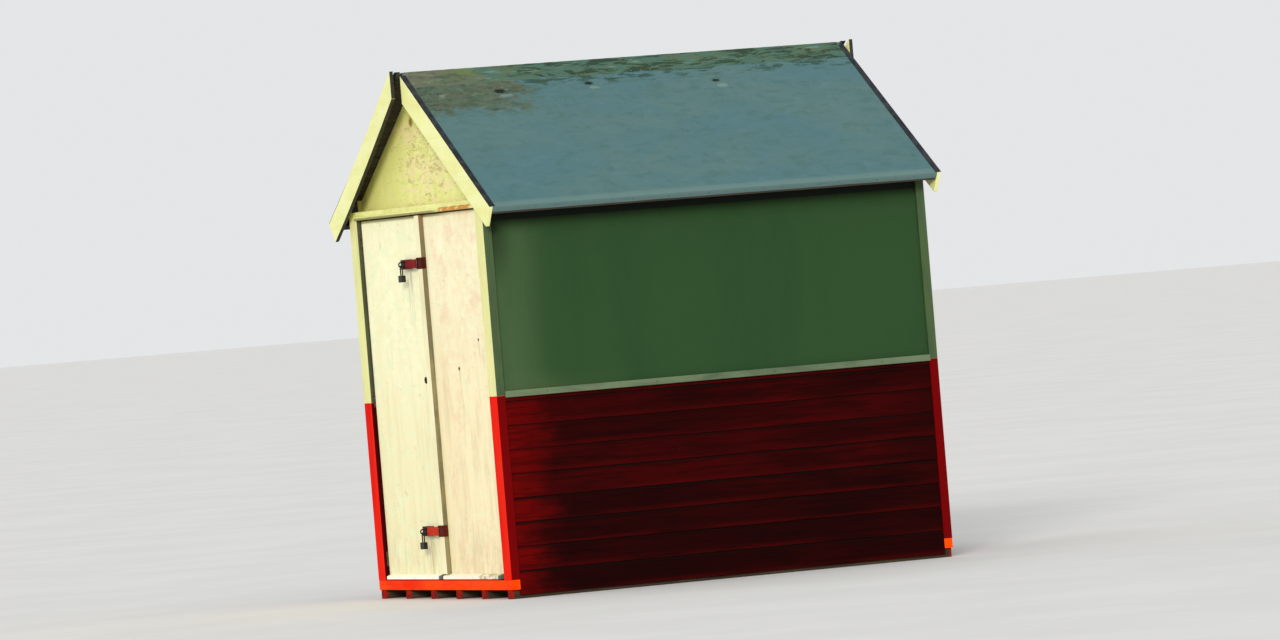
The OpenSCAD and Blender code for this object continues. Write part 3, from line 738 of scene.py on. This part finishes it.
for name, axis, shift in (("maroon_paint", 1, 22), ("maroon_back_paint", 0, 24)):
    painted(name, on_side(66, 2, 3), MAROON_DEEP, (0.05, 0.01, 0.007), "xy"[axis], 0.06, 0.0, 0.2, 0.6,
            shift, lambda g: board_tone(g, axis), 0.012)
for name, dirt, shift, step in (("green_paint", 0.08, 26, sheet_tone),
                                ("green_back_paint", 0.12, 28, lambda g: plain_inside(g, 1, BACK_Y)),
                                ("green_gable_paint", 0.12, 29, lambda g: plain_inside(g, 1, GABLE_Y))):
    painted(name, on_side(70, 96, 60), on_side(56, 84, 52), (0.13, 0.11, 0.07), "z", 0.02, dirt, 0.5, 0.5,
            shift, step, 0.08, 0.14)

timber("bare_timber", PINE, PINE_DEEP)
timber("stop_timber", PINE, PINE_DEEP, "z", 1.5, extra=stop_faces)
timber("plate_timber", PINE, PINE_DEEP, "y", 2.5, extra=plate_ends)
timber("bare_timber_x", PINE, PINE_DEEP, "x", 3)
timber("bare_timber_y", PINE, PINE_DEEP, "y", 5)
# Painted shade: the eave battens are near-black timber, as the soffit past the walls.
timber("eave_timber", (0.06, 0.045, 0.03), (0.035, 0.026, 0.018), "y", 7)
# The bearers are near-black: partly weathered timber, partly painted shade of the gap under the hut.
timber("bearer_timber", (0.06, 0.043, 0.026), (0.035, 0.025, 0.016), "y", 9, 0.7, bearer_ends, 0.04)
timber("roof_boards", (0.33, 0.21, 0.11), (0.24, 0.14, 0.07), "y", 11, extra=soffit_shade)
timber("floor_boards", (0.36, 0.25, 0.14), (0.26, 0.17, 0.09), "y", 14, 0.55)

metal("felt_nail", (0.075, 0.12, 0.115), (0.06, 0.07, 0.055), 0.4, 0.6, 0.2, 6)
metal("hinge_steel", (0.1, 0.085, 0.06), (0.075, 0.032, 0.014), 0.7, 0.55, 0.4, 1, 0.2)
metal("dark_iron", (0.014, 0.011, 0.008), (0.035, 0.013, 0.006), 0.4, 0.5, 0.2, 2, 0.12)
metal("lock_steel", (0.022, 0.018, 0.012), (0.05, 0.018, 0.008), 0.35, 0.42, 0.3, 3, 0.2)
metal("nail_rust", (0.16, 0.12, 0.09), (0.17, 0.06, 0.022), 0.9, 0.6, 0.4, 4)


def hasp_paint(name, high, low, shift, rough):
    """Red gloss on iron, worn through at the edges. high and low are the upper and lower hasp's reds."""
    g = Graph(name, 0.07)
    x, y, z = g.parts()
    chip = g.noise(0.009, 6, 0.7, shift=shift, warp=0.5)
    fine = g.noise(0.0025, 3, 0.6, shift=shift + 5)
    chipped = g.rise(chip, 0.57, 0.61)
    g.colour = g.mix(g.rise(z, 1.2, 0.9), high, low)
    g.coat(g.rise(fine, 0.35, 0.7), (0.06, 0.004, 0.003), 0.6)
    g.coat(chipped, (0.04, 0.018, 0.01))
    g.coat(g.rise(g.plus(x, chip, 0.01), -0.15, -0.158), (0.014, 0.01, 0.008))
    g.relief(chipped, -0.0004)
    g.relief(fine, 0.0002)
    g.finish(g.calc("MULTIPLY_ADD", chip, 0.5, rough))


hasp_paint("hasp_red", on_front(138, 4, 16), on_front(216, 48, 8), 1, 0.2)
hasp_paint("hasp_plate_red", on_front(62, 10, 4), on_front(86, 22, 6), 2, 0.25)


# Roofing felt finishes

def teal_felt():
    """Mineral felt: teal, worn to olive by the front of the ridge, dark with moss behind it."""
    g = Graph("teal_felt", 0.12, 0.85)
    x, y, z = g.parts()
    up = g.minus(APEX_Z, z)
    grit = g.noise(0.0022, 2, 0.7, shift=1)
    coarse = g.noise(0.008, 4, 0.7, shift=2)
    cloud = g.blots(0.35, 0.68, 0.34, 5, 0.6, (1, 0.6, 1), 5, 0.5)
    streak = g.blots(0.5, 0.75, 0.06, 5, 0.65, (0.25, 1, 0.25), 7)
    mottle = g.noise(0.05, 5, 0.65, grain("y", 0.5), 31, 0.5)
    g.colour = g.mix(cloud, on_roof(86, 124, 129), on_roof(94, 126, 124))
    g.coat(streak, on_roof(80, 112, 106), 0.3)
    g.coat(g.rise(mottle, 0.5, 0.66), on_roof(78, 114, 110), 0.6)
    g.coat(g.rise(mottle, 0.45, 0.3), on_roof(98, 132, 136), 0.6)
    rag = g.rag(0.12, 6, 0.7, (1, 0.7, 1), 9, 0.6)
    patch = g.both(g.rise(g.plus(up, rag, 0.3), 0.25, 0.19), g.rise(g.plus(y, rag, 0.7), -0.58, -0.74))
    olive = g.blots(0.4, 0.62, 0.035, 6, 0.7, grain("y", 0.5), 12)
    olive = g.mix(olive, on_roof(98, 112, 92), on_roof(74, 92, 74))
    olive = g.mix(g.blots(0.48, 0.62, 0.1, shift=14), olive, on_roof(96, 96, 74), 0.6)
    g.coat(patch, olive)
    fringe = g.both(g.rise(g.plus(up, rag, 0.5), 0.34, 0.24), g.rise(g.plus(y, rag, 1.0), -0.35, -0.6),
                    g.blots(0.5, 0.6, 0.03, 6, 0.72, grain("y", 0.35), 23))
    g.coat(fringe, on_roof(84, 112, 94), 0.6)
    ash = g.blots(0.57, 0.64, 0.028, 5, 0.7, grain("y", 0.35), 15)
    ash = g.both(g.either(patch, g.times(fringe, 0.7)), ash)
    g.coat(ash, on_roof(138, 148, 128), 0.7)
    scar = g.both(patch, g.blots(0.55, 0.63, 0.03, 5, 0.7, grain("y", 0.35), 25))
    g.coat(scar, on_roof(56, 68, 50), 0.75)
    moss = g.both(g.rise(g.plus(up, rag, 0.1), 0.15, 0.1), g.rise(g.plus(y, rag, 0.3), -0.74, -0.6),
                  g.blots(0.5, 0.57, 0.045, 6, 0.72, grain("y", 0.3), 19))
    g.coat(moss, on_roof(44, 72, 50), 0.8)
    for torn_x, torn_y, size in ((0.201, -0.777, 0.019), (0.187, -0.276, 0.014), (0.236, 0.41, 0.013),
                                 (-0.24, 0.35, 0.017), (-0.17, -0.62, 0.013)):
        top = APEX_Z - abs(torn_x) * TAN_P
        torn = g.plus(g.stray((torn_x, torn_y, top), (1.0, 0.62, 1.0)), g.minus(coarse, 0.5), 0.03)
        pale = g.plus(g.stray((torn_x * 1.17, torn_y + 0.02, top - 0.03), grain("y", 0.5)), rag, 0.08)
        g.coat(g.rise(pale, size * 1.5, size * 0.9), on_roof(132, 156, 148), 0.6)
        rim = g.both(g.rise(torn, size * 1.9, size * 1.3), g.rise(coarse, 0.4, 0.6))
        g.coat(rim, on_roof(70, 92, 84), 0.5)
        hole = g.rise(torn, size * 1.1, size * 0.8)
        g.coat(hole, (0.01, 0.012, 0.011))
        g.relief(hole, -0.0015)
    # Painted light: the felt is paler where it turns down at the eave.
    g.coat(g.rise(g.plus(up, coarse, 0.02), 0.712, 0.722), on_roof(114, 141, 136), 0.6)
    g.coat(g.rise(grit, 0.55, 0.75), on_roof(116, 148, 146), 0.3)
    g.coat(g.rise(grit, 0.45, 0.25), on_roof(52, 76, 76), 0.4)
    g.relief(grit, 0.0009)
    g.relief(coarse, 0.0008)
    g.finish()


def worn_felt():
    """The ridge strip: olive brown at the front, teal for a short way, then dark and mossy."""
    g = Graph("worn_felt", 0.12, 0.85)
    x, y, z = g.parts()
    grit = g.noise(0.0022, 2, 0.7, shift=3)
    blot = g.noise(0.045, 6, 0.72, grain("y", 0.3), 4, 0.5)
    place = g.plus(y, g.rag(0.12, 6, 0.7, shift=9, warp=0.6), 0.5)
    g.colour = g.mix(g.rise(place, -0.92, -0.76), on_roof(108, 112, 90), on_roof(78, 112, 96))
    g.coat(g.blots(0.46, 0.62, 0.08, 5, 0.6, grain("y", 0.5), 8), on_roof(92, 112, 84))
    lime = g.both(g.rise(g.abs(g.plus(place, 0.9)), 0.12, 0.04), g.rise(z, APEX_Z - 0.06, APEX_Z - 0.02))
    g.coat(lime, on_roof(104, 128, 66), 0.7)
    scar = g.blots(0.5, 0.6, 0.035, 6, 0.72, grain("y", 0.35), 25, 0.5)
    scar = g.both(scar, g.rise(place, -0.6, -0.8))
    g.coat(scar, on_roof(66, 78, 60), 0.6)
    worn = g.blots(0.52, 0.62, 0.05, 5, 0.7, grain("y", 0.4), 35, 0.5)
    worn = g.both(worn, g.rise(place, -0.65, -0.85))
    g.coat(worn, on_roof(130, 140, 118), 0.5)
    black = g.both(g.rise(blot, 0.49, 0.55), g.rise(place, -0.72, -0.55))
    g.coat(black, on_roof(38, 60, 40), 0.85)
    pale = g.both(g.blots(0.58, 0.66, 0.03, 5, 0.7, grain("y", 0.2), 28), g.rise(place, -0.9, -0.8))
    g.coat(pale, on_roof(128, 158, 148), 0.6)
    g.coat(g.rise(grit, 0.5, 0.75), on_roof(132, 150, 134), 0.3)
    g.relief(grit, 0.0009)
    g.relief(blot, 0.001)
    g.finish()


def black_felt():
    """The cut felt edge over the verges. Its black strip reaches onto the roof felt behind each verge,
    partly a painted shadow of the verge there.
    """
    g = Graph("black_felt", 0.1)
    grit = g.noise(0.003, 3, 0.7)
    patch = g.noise(0.06, 5, 0.65, shift=4)
    g.relief(grit, 0.0006)
    g.relief(patch, 0.001)
    g.colour = g.mix(g.rise(patch, 0.4, 0.7), (0.016, 0.018, 0.022), (0.04, 0.045, 0.05))
    g.finish(g.calc("MULTIPLY_ADD", grit, 0.4, 0.6))


teal_felt()
worn_felt()
black_felt()


# CAD nodes that stay, with soft edges and their finishes

def dress(node, material, edge):
    """Gives a CAD node its material and eases its edges by that width."""
    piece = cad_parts[node]
    if not piece.material_slots:
        piece.data.materials.append(material)
    for place in piece.material_slots:
        place.material = material
    if edge:
        weld = piece.modifiers.new("join_faces", "WELD")
        weld.merge_threshold = 0.00002
        bevel = piece.modifiers.new("soft_edge", "BEVEL")
        bevel.width = edge
        bevel.segments = 2
        bevel.limit_method = "ANGLE"
        bevel.angle_limit = math.radians(32)
        bevel.use_clamp_overlap = True
        even = piece.modifiers.new("even_shade", "WEIGHTED_NORMAL")
        even.keep_sharp = False


for finish, edge, *nodes in (
        ("bearer_timber", 0.003, "bearers"),
        ("bare_timber_x", 0.0015, "floor_joists", "gable_feet", "rafters"),
        ("bare_timber_x", 0.002, "left_ledges", "right_ledges"), ("bare_timber_y", 0.0015, "ridge_board"),
        ("bare_timber", 0.0015, "wall_studs"), ("plate_timber", 0.0015, "wall_plates"),
        ("stop_timber", 0.0015, "door_stops"), ("eave_timber", 0.0015, "eave_battens"),
        ("red_paint", 0.002, "plinths"), ("red_post_paint", 0.002, "posts_lower"),
        ("upper_post_paint", 0.002, "posts_upper"), ("grey_green_paint", 0.003, "waist_rails"),
        ("green_paint", 0.001, "side_sheets"), ("green_back_paint", 0.001, "back_sheet"),
        ("green_gable_paint", 0.001, "gable_back"), ("gable_paint", 0.001, "gable_front"),
        ("head_paint", 0.002, "head_beams"), ("drip_paint", 0.002, "head_drip"),
        ("verge_paint", 0.002, "verge_left", "verge_right"), ("black_felt", 0.0006, "verge_caps"),
        ("hinge_steel", 0.0003, "hinge_posts", "left_hinges", "right_hinges"),
        ("left_leaf_paint", 0.0012, "left_sheet"), ("right_leaf_paint", 0.0012, "right_sheet"),
        ("bar_paint", 0.002, "left_bar", "right_bar"), ("strip_paint", 0.002, "meeting_strip"),
        ("hasp_red", 0.0006, "hasp_straps"), ("hasp_plate_red", 0.0005, "hasp_plates"),
        ("dark_iron", 0.0, "hasp_staples"), ("dark_iron", 0.0006, "key_plate"),
        ("lock_steel", 0.0018, "padlocks")):
    for node in nodes:
        dress(node, MAT[finish], edge)


# Shiplap boards of the lower walls

def board_profile(tall):
    """Section of one board as depth and height: a lip below, and a scooped top edge on a whole board."""
    insets = [(0.0018, 0.0), (0.0004, 0.0008), (0.0, 0.0026)]
    if tall > 0.11:
        insets += [(0.0, 0.094), (0.0012, 0.0985), (0.004, 0.1035), (0.0074, 0.108), (0.0092, 0.113),
                   (0.0095, tall)]
    else:
        insets.append((0.0, tall))
    return [(0.0, 0.0)] + [(BOARD_DEEP - inset, h) for inset, h in insets] + [(0.0, tall)]


def shiplap(name, axis, side, nails):
    """Horizontal boards of one wall, with their nails. axis is the way the boards run."""
    along_y = axis == "y"
    wall, half, low = (FRAME_X, INNER_Y, SIDE_BOARD_Z) if along_y else (BACK_Y, BACK_HALF, BACK_BOARD_Z)
    face = wall + BOARD_DEEP
    shape = Shape()
    steps = 22

    def at(out, along, up):
        return (side * out, along, up) if along_y else (along, side * out, up)

    for i in range(math.ceil((WAIST_Z - low) / BOARD_COVER)):
        z = low + i * BOARD_COVER
        tall = min(z + BOARD_COVER, WAIST_Z) - z
        back = random.uniform(0.0002, 0.0012)
        tilt = jitter(0.0006)
        rings = []
        for k in range(steps + 1):
            s = -half + 2 * half * k / steps
            ring = []
            for d, h in board_profile(tall):
                bow = -back - 0.0005 + 0.0005 * wave((s, z, h), 0.35, i) + tilt * (h / BOARD_COVER - 0.5)
                out = min(wall + d + (bow if d > 0 else 0.0), face)
                sags = 0 < k < steps and 0 < h < tall
                sag = 0.0009 * wave((s, z, 3.0), 0.7, i + 0.5) if sags else 0.0
                ring.append(at(out, s, z + h + sag))
            if along_y and side > 0:
                ring.reverse()
            rings.append(ring)
        shape.loft(rings)
        for stud in STUD_Y if along_y else BACK_STUD_X:
            up = z + 0.028 + jitter(0.004)
            nails.head(at(face - 0.0016, stud + jitter(0.006), up), at(1, 0, 0), 0.0032, 0.0011)
    shape.build(name, "hut", "maroon_paint" if along_y else "maroon_back_paint",
                replaces=("side_boards" if along_y else "back_boards",))


side_nails = Shape()
shiplap("right_shiplap", "y", 1, side_nails)
shiplap("left_shiplap", "y", -1, side_nails)
side_nails.build("cladding_nails", "hut", "maroon_paint", True)
back_nails = Shape()
shiplap("back_shiplap", "x", 1, back_nails)
back_nails.build("back_cladding_nails", "hut", "maroon_back_paint", True)


# Floor boards and roof boards

floor = Shape()
FLOOR_COUNT = 15
FLOOR_WIDTH = 2 * FRAME_X / FLOOR_COUNT
FLOOR_LOW = 0.078
EASE = 0.0015
for i in range(FLOOR_COUNT):
    u0 = -FRAME_X + i * FLOOR_WIDTH + (0.0007 if i else 0.0)
    u1 = -FRAME_X + (i + 1) * FLOOR_WIDTH - (0.0007 if i < FLOOR_COUNT - 1 else 0.0)
    drop = random.uniform(0.0, 0.0007)
    rings = []
    for k in range(13):
        y = -INNER_Y + 2 * INNER_Y * k / 12
        top = 0.096 - drop - 0.0003 * (1 + wave((u0, y, 0), 0.5, i))
        section = ((u0 + EASE, top), (u1 - EASE, top), (u1, top - EASE), (u1, FLOOR_LOW + EASE),
                   (u1 - EASE, FLOOR_LOW), (u0 + EASE, FLOOR_LOW), (u0, FLOOR_LOW + EASE), (u0, top - EASE))
        rings.append([(u, y, v) for u, v in section])
    floor.loft(rings)
floor.build("floor_boards", "hut", "floor_boards", replaces=("floor_deck",))


def roof_boards(name, node, side):
    """Boards of one roof slope with a gap between them and eased lower edges."""
    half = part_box(node)[1].y
    shape = Shape()
    count = 13
    width = (EAVE_X - 0.003) / COS_P / count
    gap = 0.0006
    ease = 0.0036
    for i in range(count):
        s0, s1 = i * width, (i + 1) * width
        profile = ((s0 + gap, 0.005), (s1 - gap, 0.005), (s1 - gap, 0.0168), (s1 - ease, 0.02),
                   (s0 + ease, 0.02), (s0 + gap, 0.0168))
        rings = []
        for k in range(9):
            y = -half + 2 * half * k / 8
            ring = []
            for s, off in profile:
                if i == 0 and s < 0.01:
                    p = Vector((side * 0.0004, 0.0, APEX_Z - off / COS_P))
                elif i == count - 1 and s > s1 - 0.001:
                    p = slope(EAVE_X - 0.003, off, side)
                else:
                    p = slope(s * COS_P + off * SIN_P * 0.5, off, side)
                ring.append((p.x, y, p.z))
            if side < 0:
                ring.reverse()
            rings.append(ring)
        shape.loft(rings)
    shape.build(name, "hut", "roof_boards", replaces=(node,))


roof_boards("roof_boards_right", "deck_right", 1)
roof_boards("roof_boards_left", "deck_left", -1)


# Roofing felt

def felt(name, node, side):
    """Felt of one slope: it lies in low waves, thins under the ridge strip and turns down at the eave."""
    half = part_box(node)[1].y
    shape = Shape()
    across = 44
    steps = 110
    under = 0.00495

    def at(x, y, off):
        p = slope(x, off, side) if x else Vector((0.0, 0.0, APEX_Z - off / COS_P))
        return (p.x, y, p.z)

    rows = []
    for k in range(steps + 1):
        y = -half + 2 * half * k / steps
        edge = min(1.0, (half - abs(y)) / 0.04)
        outer = []
        inner = []
        for i in range(across + 1):
            x = (EAVE_X - 0.006) * i / across
            lie = 0.001 * wave((x, y, side), 0.16, 2) + 0.0007 * wave((x, y, side), 0.05, 5)
            lie += 0.0008 * wave((x * 0.4, y, side), 0.45, 9)
            off = 0.0021 + lie * edge
            if x < FELT_LAP:
                off -= 0.001 + 0.0006 * wave((0.0, y, side), 0.08, 3)
            outer.append(at(x, y, min(max(off, 0.0004), 0.0034)))
            inner.append(at(x, y, under))
        sway = min(0.0, 0.0012 * wave((0.0, y, side), 0.09, 7))
        drop = 0.037 + 0.0016 * wave((1.0, y, side), 0.12, 8)
        for inset, off in ((0.003, 0.0024), (0.001, 0.0034), (0.0002, 0.0056), (0.0002 - sway, 0.015),
                           (0.0004 - sway, drop - 0.003), (0.0012, drop), (0.0027, drop), (0.0028, 0.015),
                           (0.0029, 0.0052)):
            outer.append(at(EAVE_X - inset, y, off))
        ring = outer + inner[::-1]
        if side > 0:
            ring.reverse()
        rows.append(ring)
    shape.loft(rows)
    shape.build(name, "hut", "teal_felt", True, (node,))


def ridge_felt():
    """Felt strip over the ridge, with ragged edges that stand a little off the roof."""
    shape = Shape()
    low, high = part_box("ridge_strip")
    rows = []
    for k in range(121):
        y = low.y + (high.y - low.y) * k / 120
        top = []
        under = []
        for i in range(-10, 11):
            x = STRIP_HALF * i / 10
            side = 1 if i >= 0 else -1
            if abs(i) == 10:
                ragged = 0.004 * abs(wave((side, y, 0.0), 0.05, 4))
                ragged += 0.003 * abs(wave((side, y, 2.0), 0.2, 6))
                x = side * (STRIP_HALF - ragged)
            lift = 0.0007 * wave((x, y, 1.0), 0.05, 1) + 0.0005 * wave((x, y, 1.0), 0.018, 3)
            off = max(-0.00095, -0.0004 - lift) + (0.0008 if abs(i) >= 9 else 0.0)
            roof_z = APEX_Z - abs(x) * TAN_P
            top.append((x, y, roof_z - off / COS_P))
            under.append((x, y, roof_z - 0.0012 / COS_P))
        rows.append(top + under[::-1])
    shape.loft(rows)
    shape.build("ridge_felt", "hut", "worn_felt", True, ("ridge_strip",))


felt("roof_felt_right", "felt_right", 1)
felt("roof_felt_left", "felt_left", -1)
ridge_felt()


# Nails, clouts, screws and bolts

clouts = Shape()
CLOUT_STEP = 0.052
for side, face in VERGE_Y.items():
    half = face - CAP_WIDTH
    up = Vector((side * SIN_P, 0.0, COS_P))
    out = Vector((side * COS_P, 0.0, -SIN_P))
    for k in range(int(2 * half / CLOUT_STEP)):
        y = -half + 0.02 + k * CLOUT_STEP + jitter(0.006)
        if abs(y) > half - 0.015:
            continue
        p = slope(FELT_LAP - 0.016 + jitter(0.003), 0.0013, side)
        clouts.head((p.x, y, p.z), up, 0.0048, 0.0008, 8, 0.7)
        if k % 2 == 0:
            p = slope(EAVE_X - 0.0005, 0.02 + jitter(0.002), side)
            clouts.head((p.x, y, p.z), out, 0.0045, 0.0006, 8, 0.7)
        p = slope(STRIP_HALF - 0.016 + jitter(0.003), 0.0006, side)
        clouts.head((p.x, y * 0.985, p.z), up, 0.0048, 0.0008, 8, 0.7)
clouts.build("felt_clouts", "hut", "felt_nail", True)


def post_nails(shape, end, heights):
    """Pairs of nails in the two corner posts of one end of the hut."""
    for side, z, beside in product((-1, 1), heights, (-0.027, 0.027)):
        shape.head((side * (POST_X + beside), end * POST_Y, z + jitter(0.01)), (0, end, 0))


trim = Shape()
for side, face in VERGE_Y.items():
    for end, x, off in product((-1, 1), (0.08, 0.36, 0.64, 0.92), (0.032, 0.094)):
        p = slope(x + jitter(0.01) + off * SIN_P, off, side)
        stand = spring(abs(p.x)) if side < 0 else 0.0
        trim.head((p.x, end * (face + stand - 0.0004), p.z), (0, end, 0))
for end in (-1, 1):
    post_nails(trim, end, (1.06, 1.34, 1.62, 1.9))
trim.build("trim_nails", "hut", "cream_yellow_paint", True)

low_nails = Shape()
for end in (-1, 1):
    post_nails(low_nails, end, (0.14, 0.42, 0.7, 0.97))
    for i, beside in product(range(6), (-0.012, 0.012)):
        low_nails.head((-0.869 + i * 0.3476 + beside, end * POST_Y, 0.07 + jitter(0.004)), (0, end, 0))
low_nails.build("base_nails", "hut", "red_post_paint", True)

SHEET_NAIL_Z = [1.065 + k * 0.145 for k in range(7)]
sheet_nails = Shape()
for side in (-1, 1):
    for y, z in product(STUD_Y, SHEET_NAIL_Z):
        z += jitter(0.006)
        sheet_nails.head((side * SHEET_FACE_X, y + jitter(0.004), z), (side, 0, 0), height=0.0009)
    for y in (-0.95, -0.35, 0.3, 0.9):
        sheet_nails.head((side * RAIL_FACE_X, y, 1.0245), (side, 0, 0), height=0.0003)
sheet_nails.build("sheet_nails", "hut", "green_paint", True)

back_sheet_nails = Shape()
for x, z in product(BACK_STUD_X, SHEET_NAIL_Z):
    back_sheet_nails.head((x, BACK_SHEET_Y, z), (0, 1, 0), height=0.0009)
back_sheet_nails.build("back_sheet_nails", "hut", "green_back_paint", True)

for side, word in ((-1, "left"), (1, "right")):
    bolts = Shape()
    if side > 0:
        for (x, z), radius in zip(LEAF_BOLTS, (0.0068, 0.005)):
            bolts.head((x, LEAF_Y, z), (0, -1, 0), radius, 0.0022, 12, 0.6)
    for z, k, beside in product((0.206, 1.0305, 1.855), range(4), (-0.022, 0.022)):
        x = side * (0.09 + k * 0.2)
        bolts.head((x + jitter(0.008), LEAF_Y - 0.0001, z + beside), (0, -1, 0), 0.0036, 0.0007)
    bolts.build(word + "_leaf_bolts", word + "_door", word + "_leaf_paint", True)

bolt_heads = Shape()
for (x, z), radius in zip(LEAF_BOLTS, (0.0074, 0.0054)):
    bolt_heads.head((x, LEAF_Y - 0.0003, z), (0, -1, 0), radius, 0.003, 12, 0.6)
bolt_heads.build("leaf_bolt_heads", "right_door", "dark_iron", True)

block_screws = Shape()
for z, beside in product(HASP_Z, (-0.015, 0.015)):
    block_screws.head((-0.214, STRIP_Y, z + beside), (0, -1, 0), 0.0042, 0.0014, 10, 0.6)
block_screws.build("block_screws", "left_door", "nail_rust", True)


# Floor, lights and camera

def stage():
    """Plain pale floor, an even sky and one soft sun."""
    g = Graph("studio_floor", 0.2, 0.9)
    g.colour = g.mix(g.blots(0.3, 0.7, 1.4), (0.7, 0.69, 0.67), (0.66, 0.65, 0.63))
    g.finish()
    mesh = bpy.data.meshes.new("studio_floor")
    reach = 400.0
    corners = [(-reach, -reach, 0), (reach, -reach, 0), (reach, reach, 0), (-reach, reach, 0)]
    mesh.from_pydata(corners, [], [(0, 1, 2, 3)])
    mesh.materials.append(MAT["studio_floor"])
    placed("studio_floor", mesh)
    world = bpy.data.worlds.new("studio")
    bpy.context.scene.world = world
    world.use_nodes = True
    sky = world.node_tree.nodes["Background"]
    sky.inputs["Color"].default_value = (0.97, 0.985, 1.0, 1.0)
    sky.inputs["Strength"].default_value = 0.8
    sun = bpy.data.lights.new("key", "SUN")
    sun.energy = 2.7
    sun.angle = math.radians(14)
    sun.color = (1.0, 0.985, 0.95)
    beam = Vector((-0.811, 0.507, -0.292))
    placed("key", sun).rotation_euler = beam.to_track_quat("-Z", "Y").to_euler()


def camera():
    """The photograph's place, direction of view and roll, aimed at the hut with a longer lens."""
    roll = math.radians(4.7)
    place = Vector((40.1, -17.13, 1.5))
    aim = Vector((0.0, -0.02, 1.335))
    forward = (aim - place).normalized()
    right = forward.cross(Vector((0, 0, 1))).normalized()
    up = right.cross(forward)
    across = right * math.cos(roll) - up * math.sin(roll)
    upward = right * math.sin(roll) + up * math.cos(roll)
    data = bpy.data.cameras.new("camera")
    data.sensor_width = 36.0
    data.lens = 238.0
    data.clip_end = 1000.0
    eye = placed("camera", data)
    turn = eye.matrix_world.copy()
    for row in range(3):
        for column, vector in enumerate((across, upward, -forward, place)):
            turn[row][column] = vector[row]
    eye.matrix_world = turn
    bpy.context.scene.camera = eye


stage()
camera()
bpy.context.scene.view_settings.view_transform = "Standard"
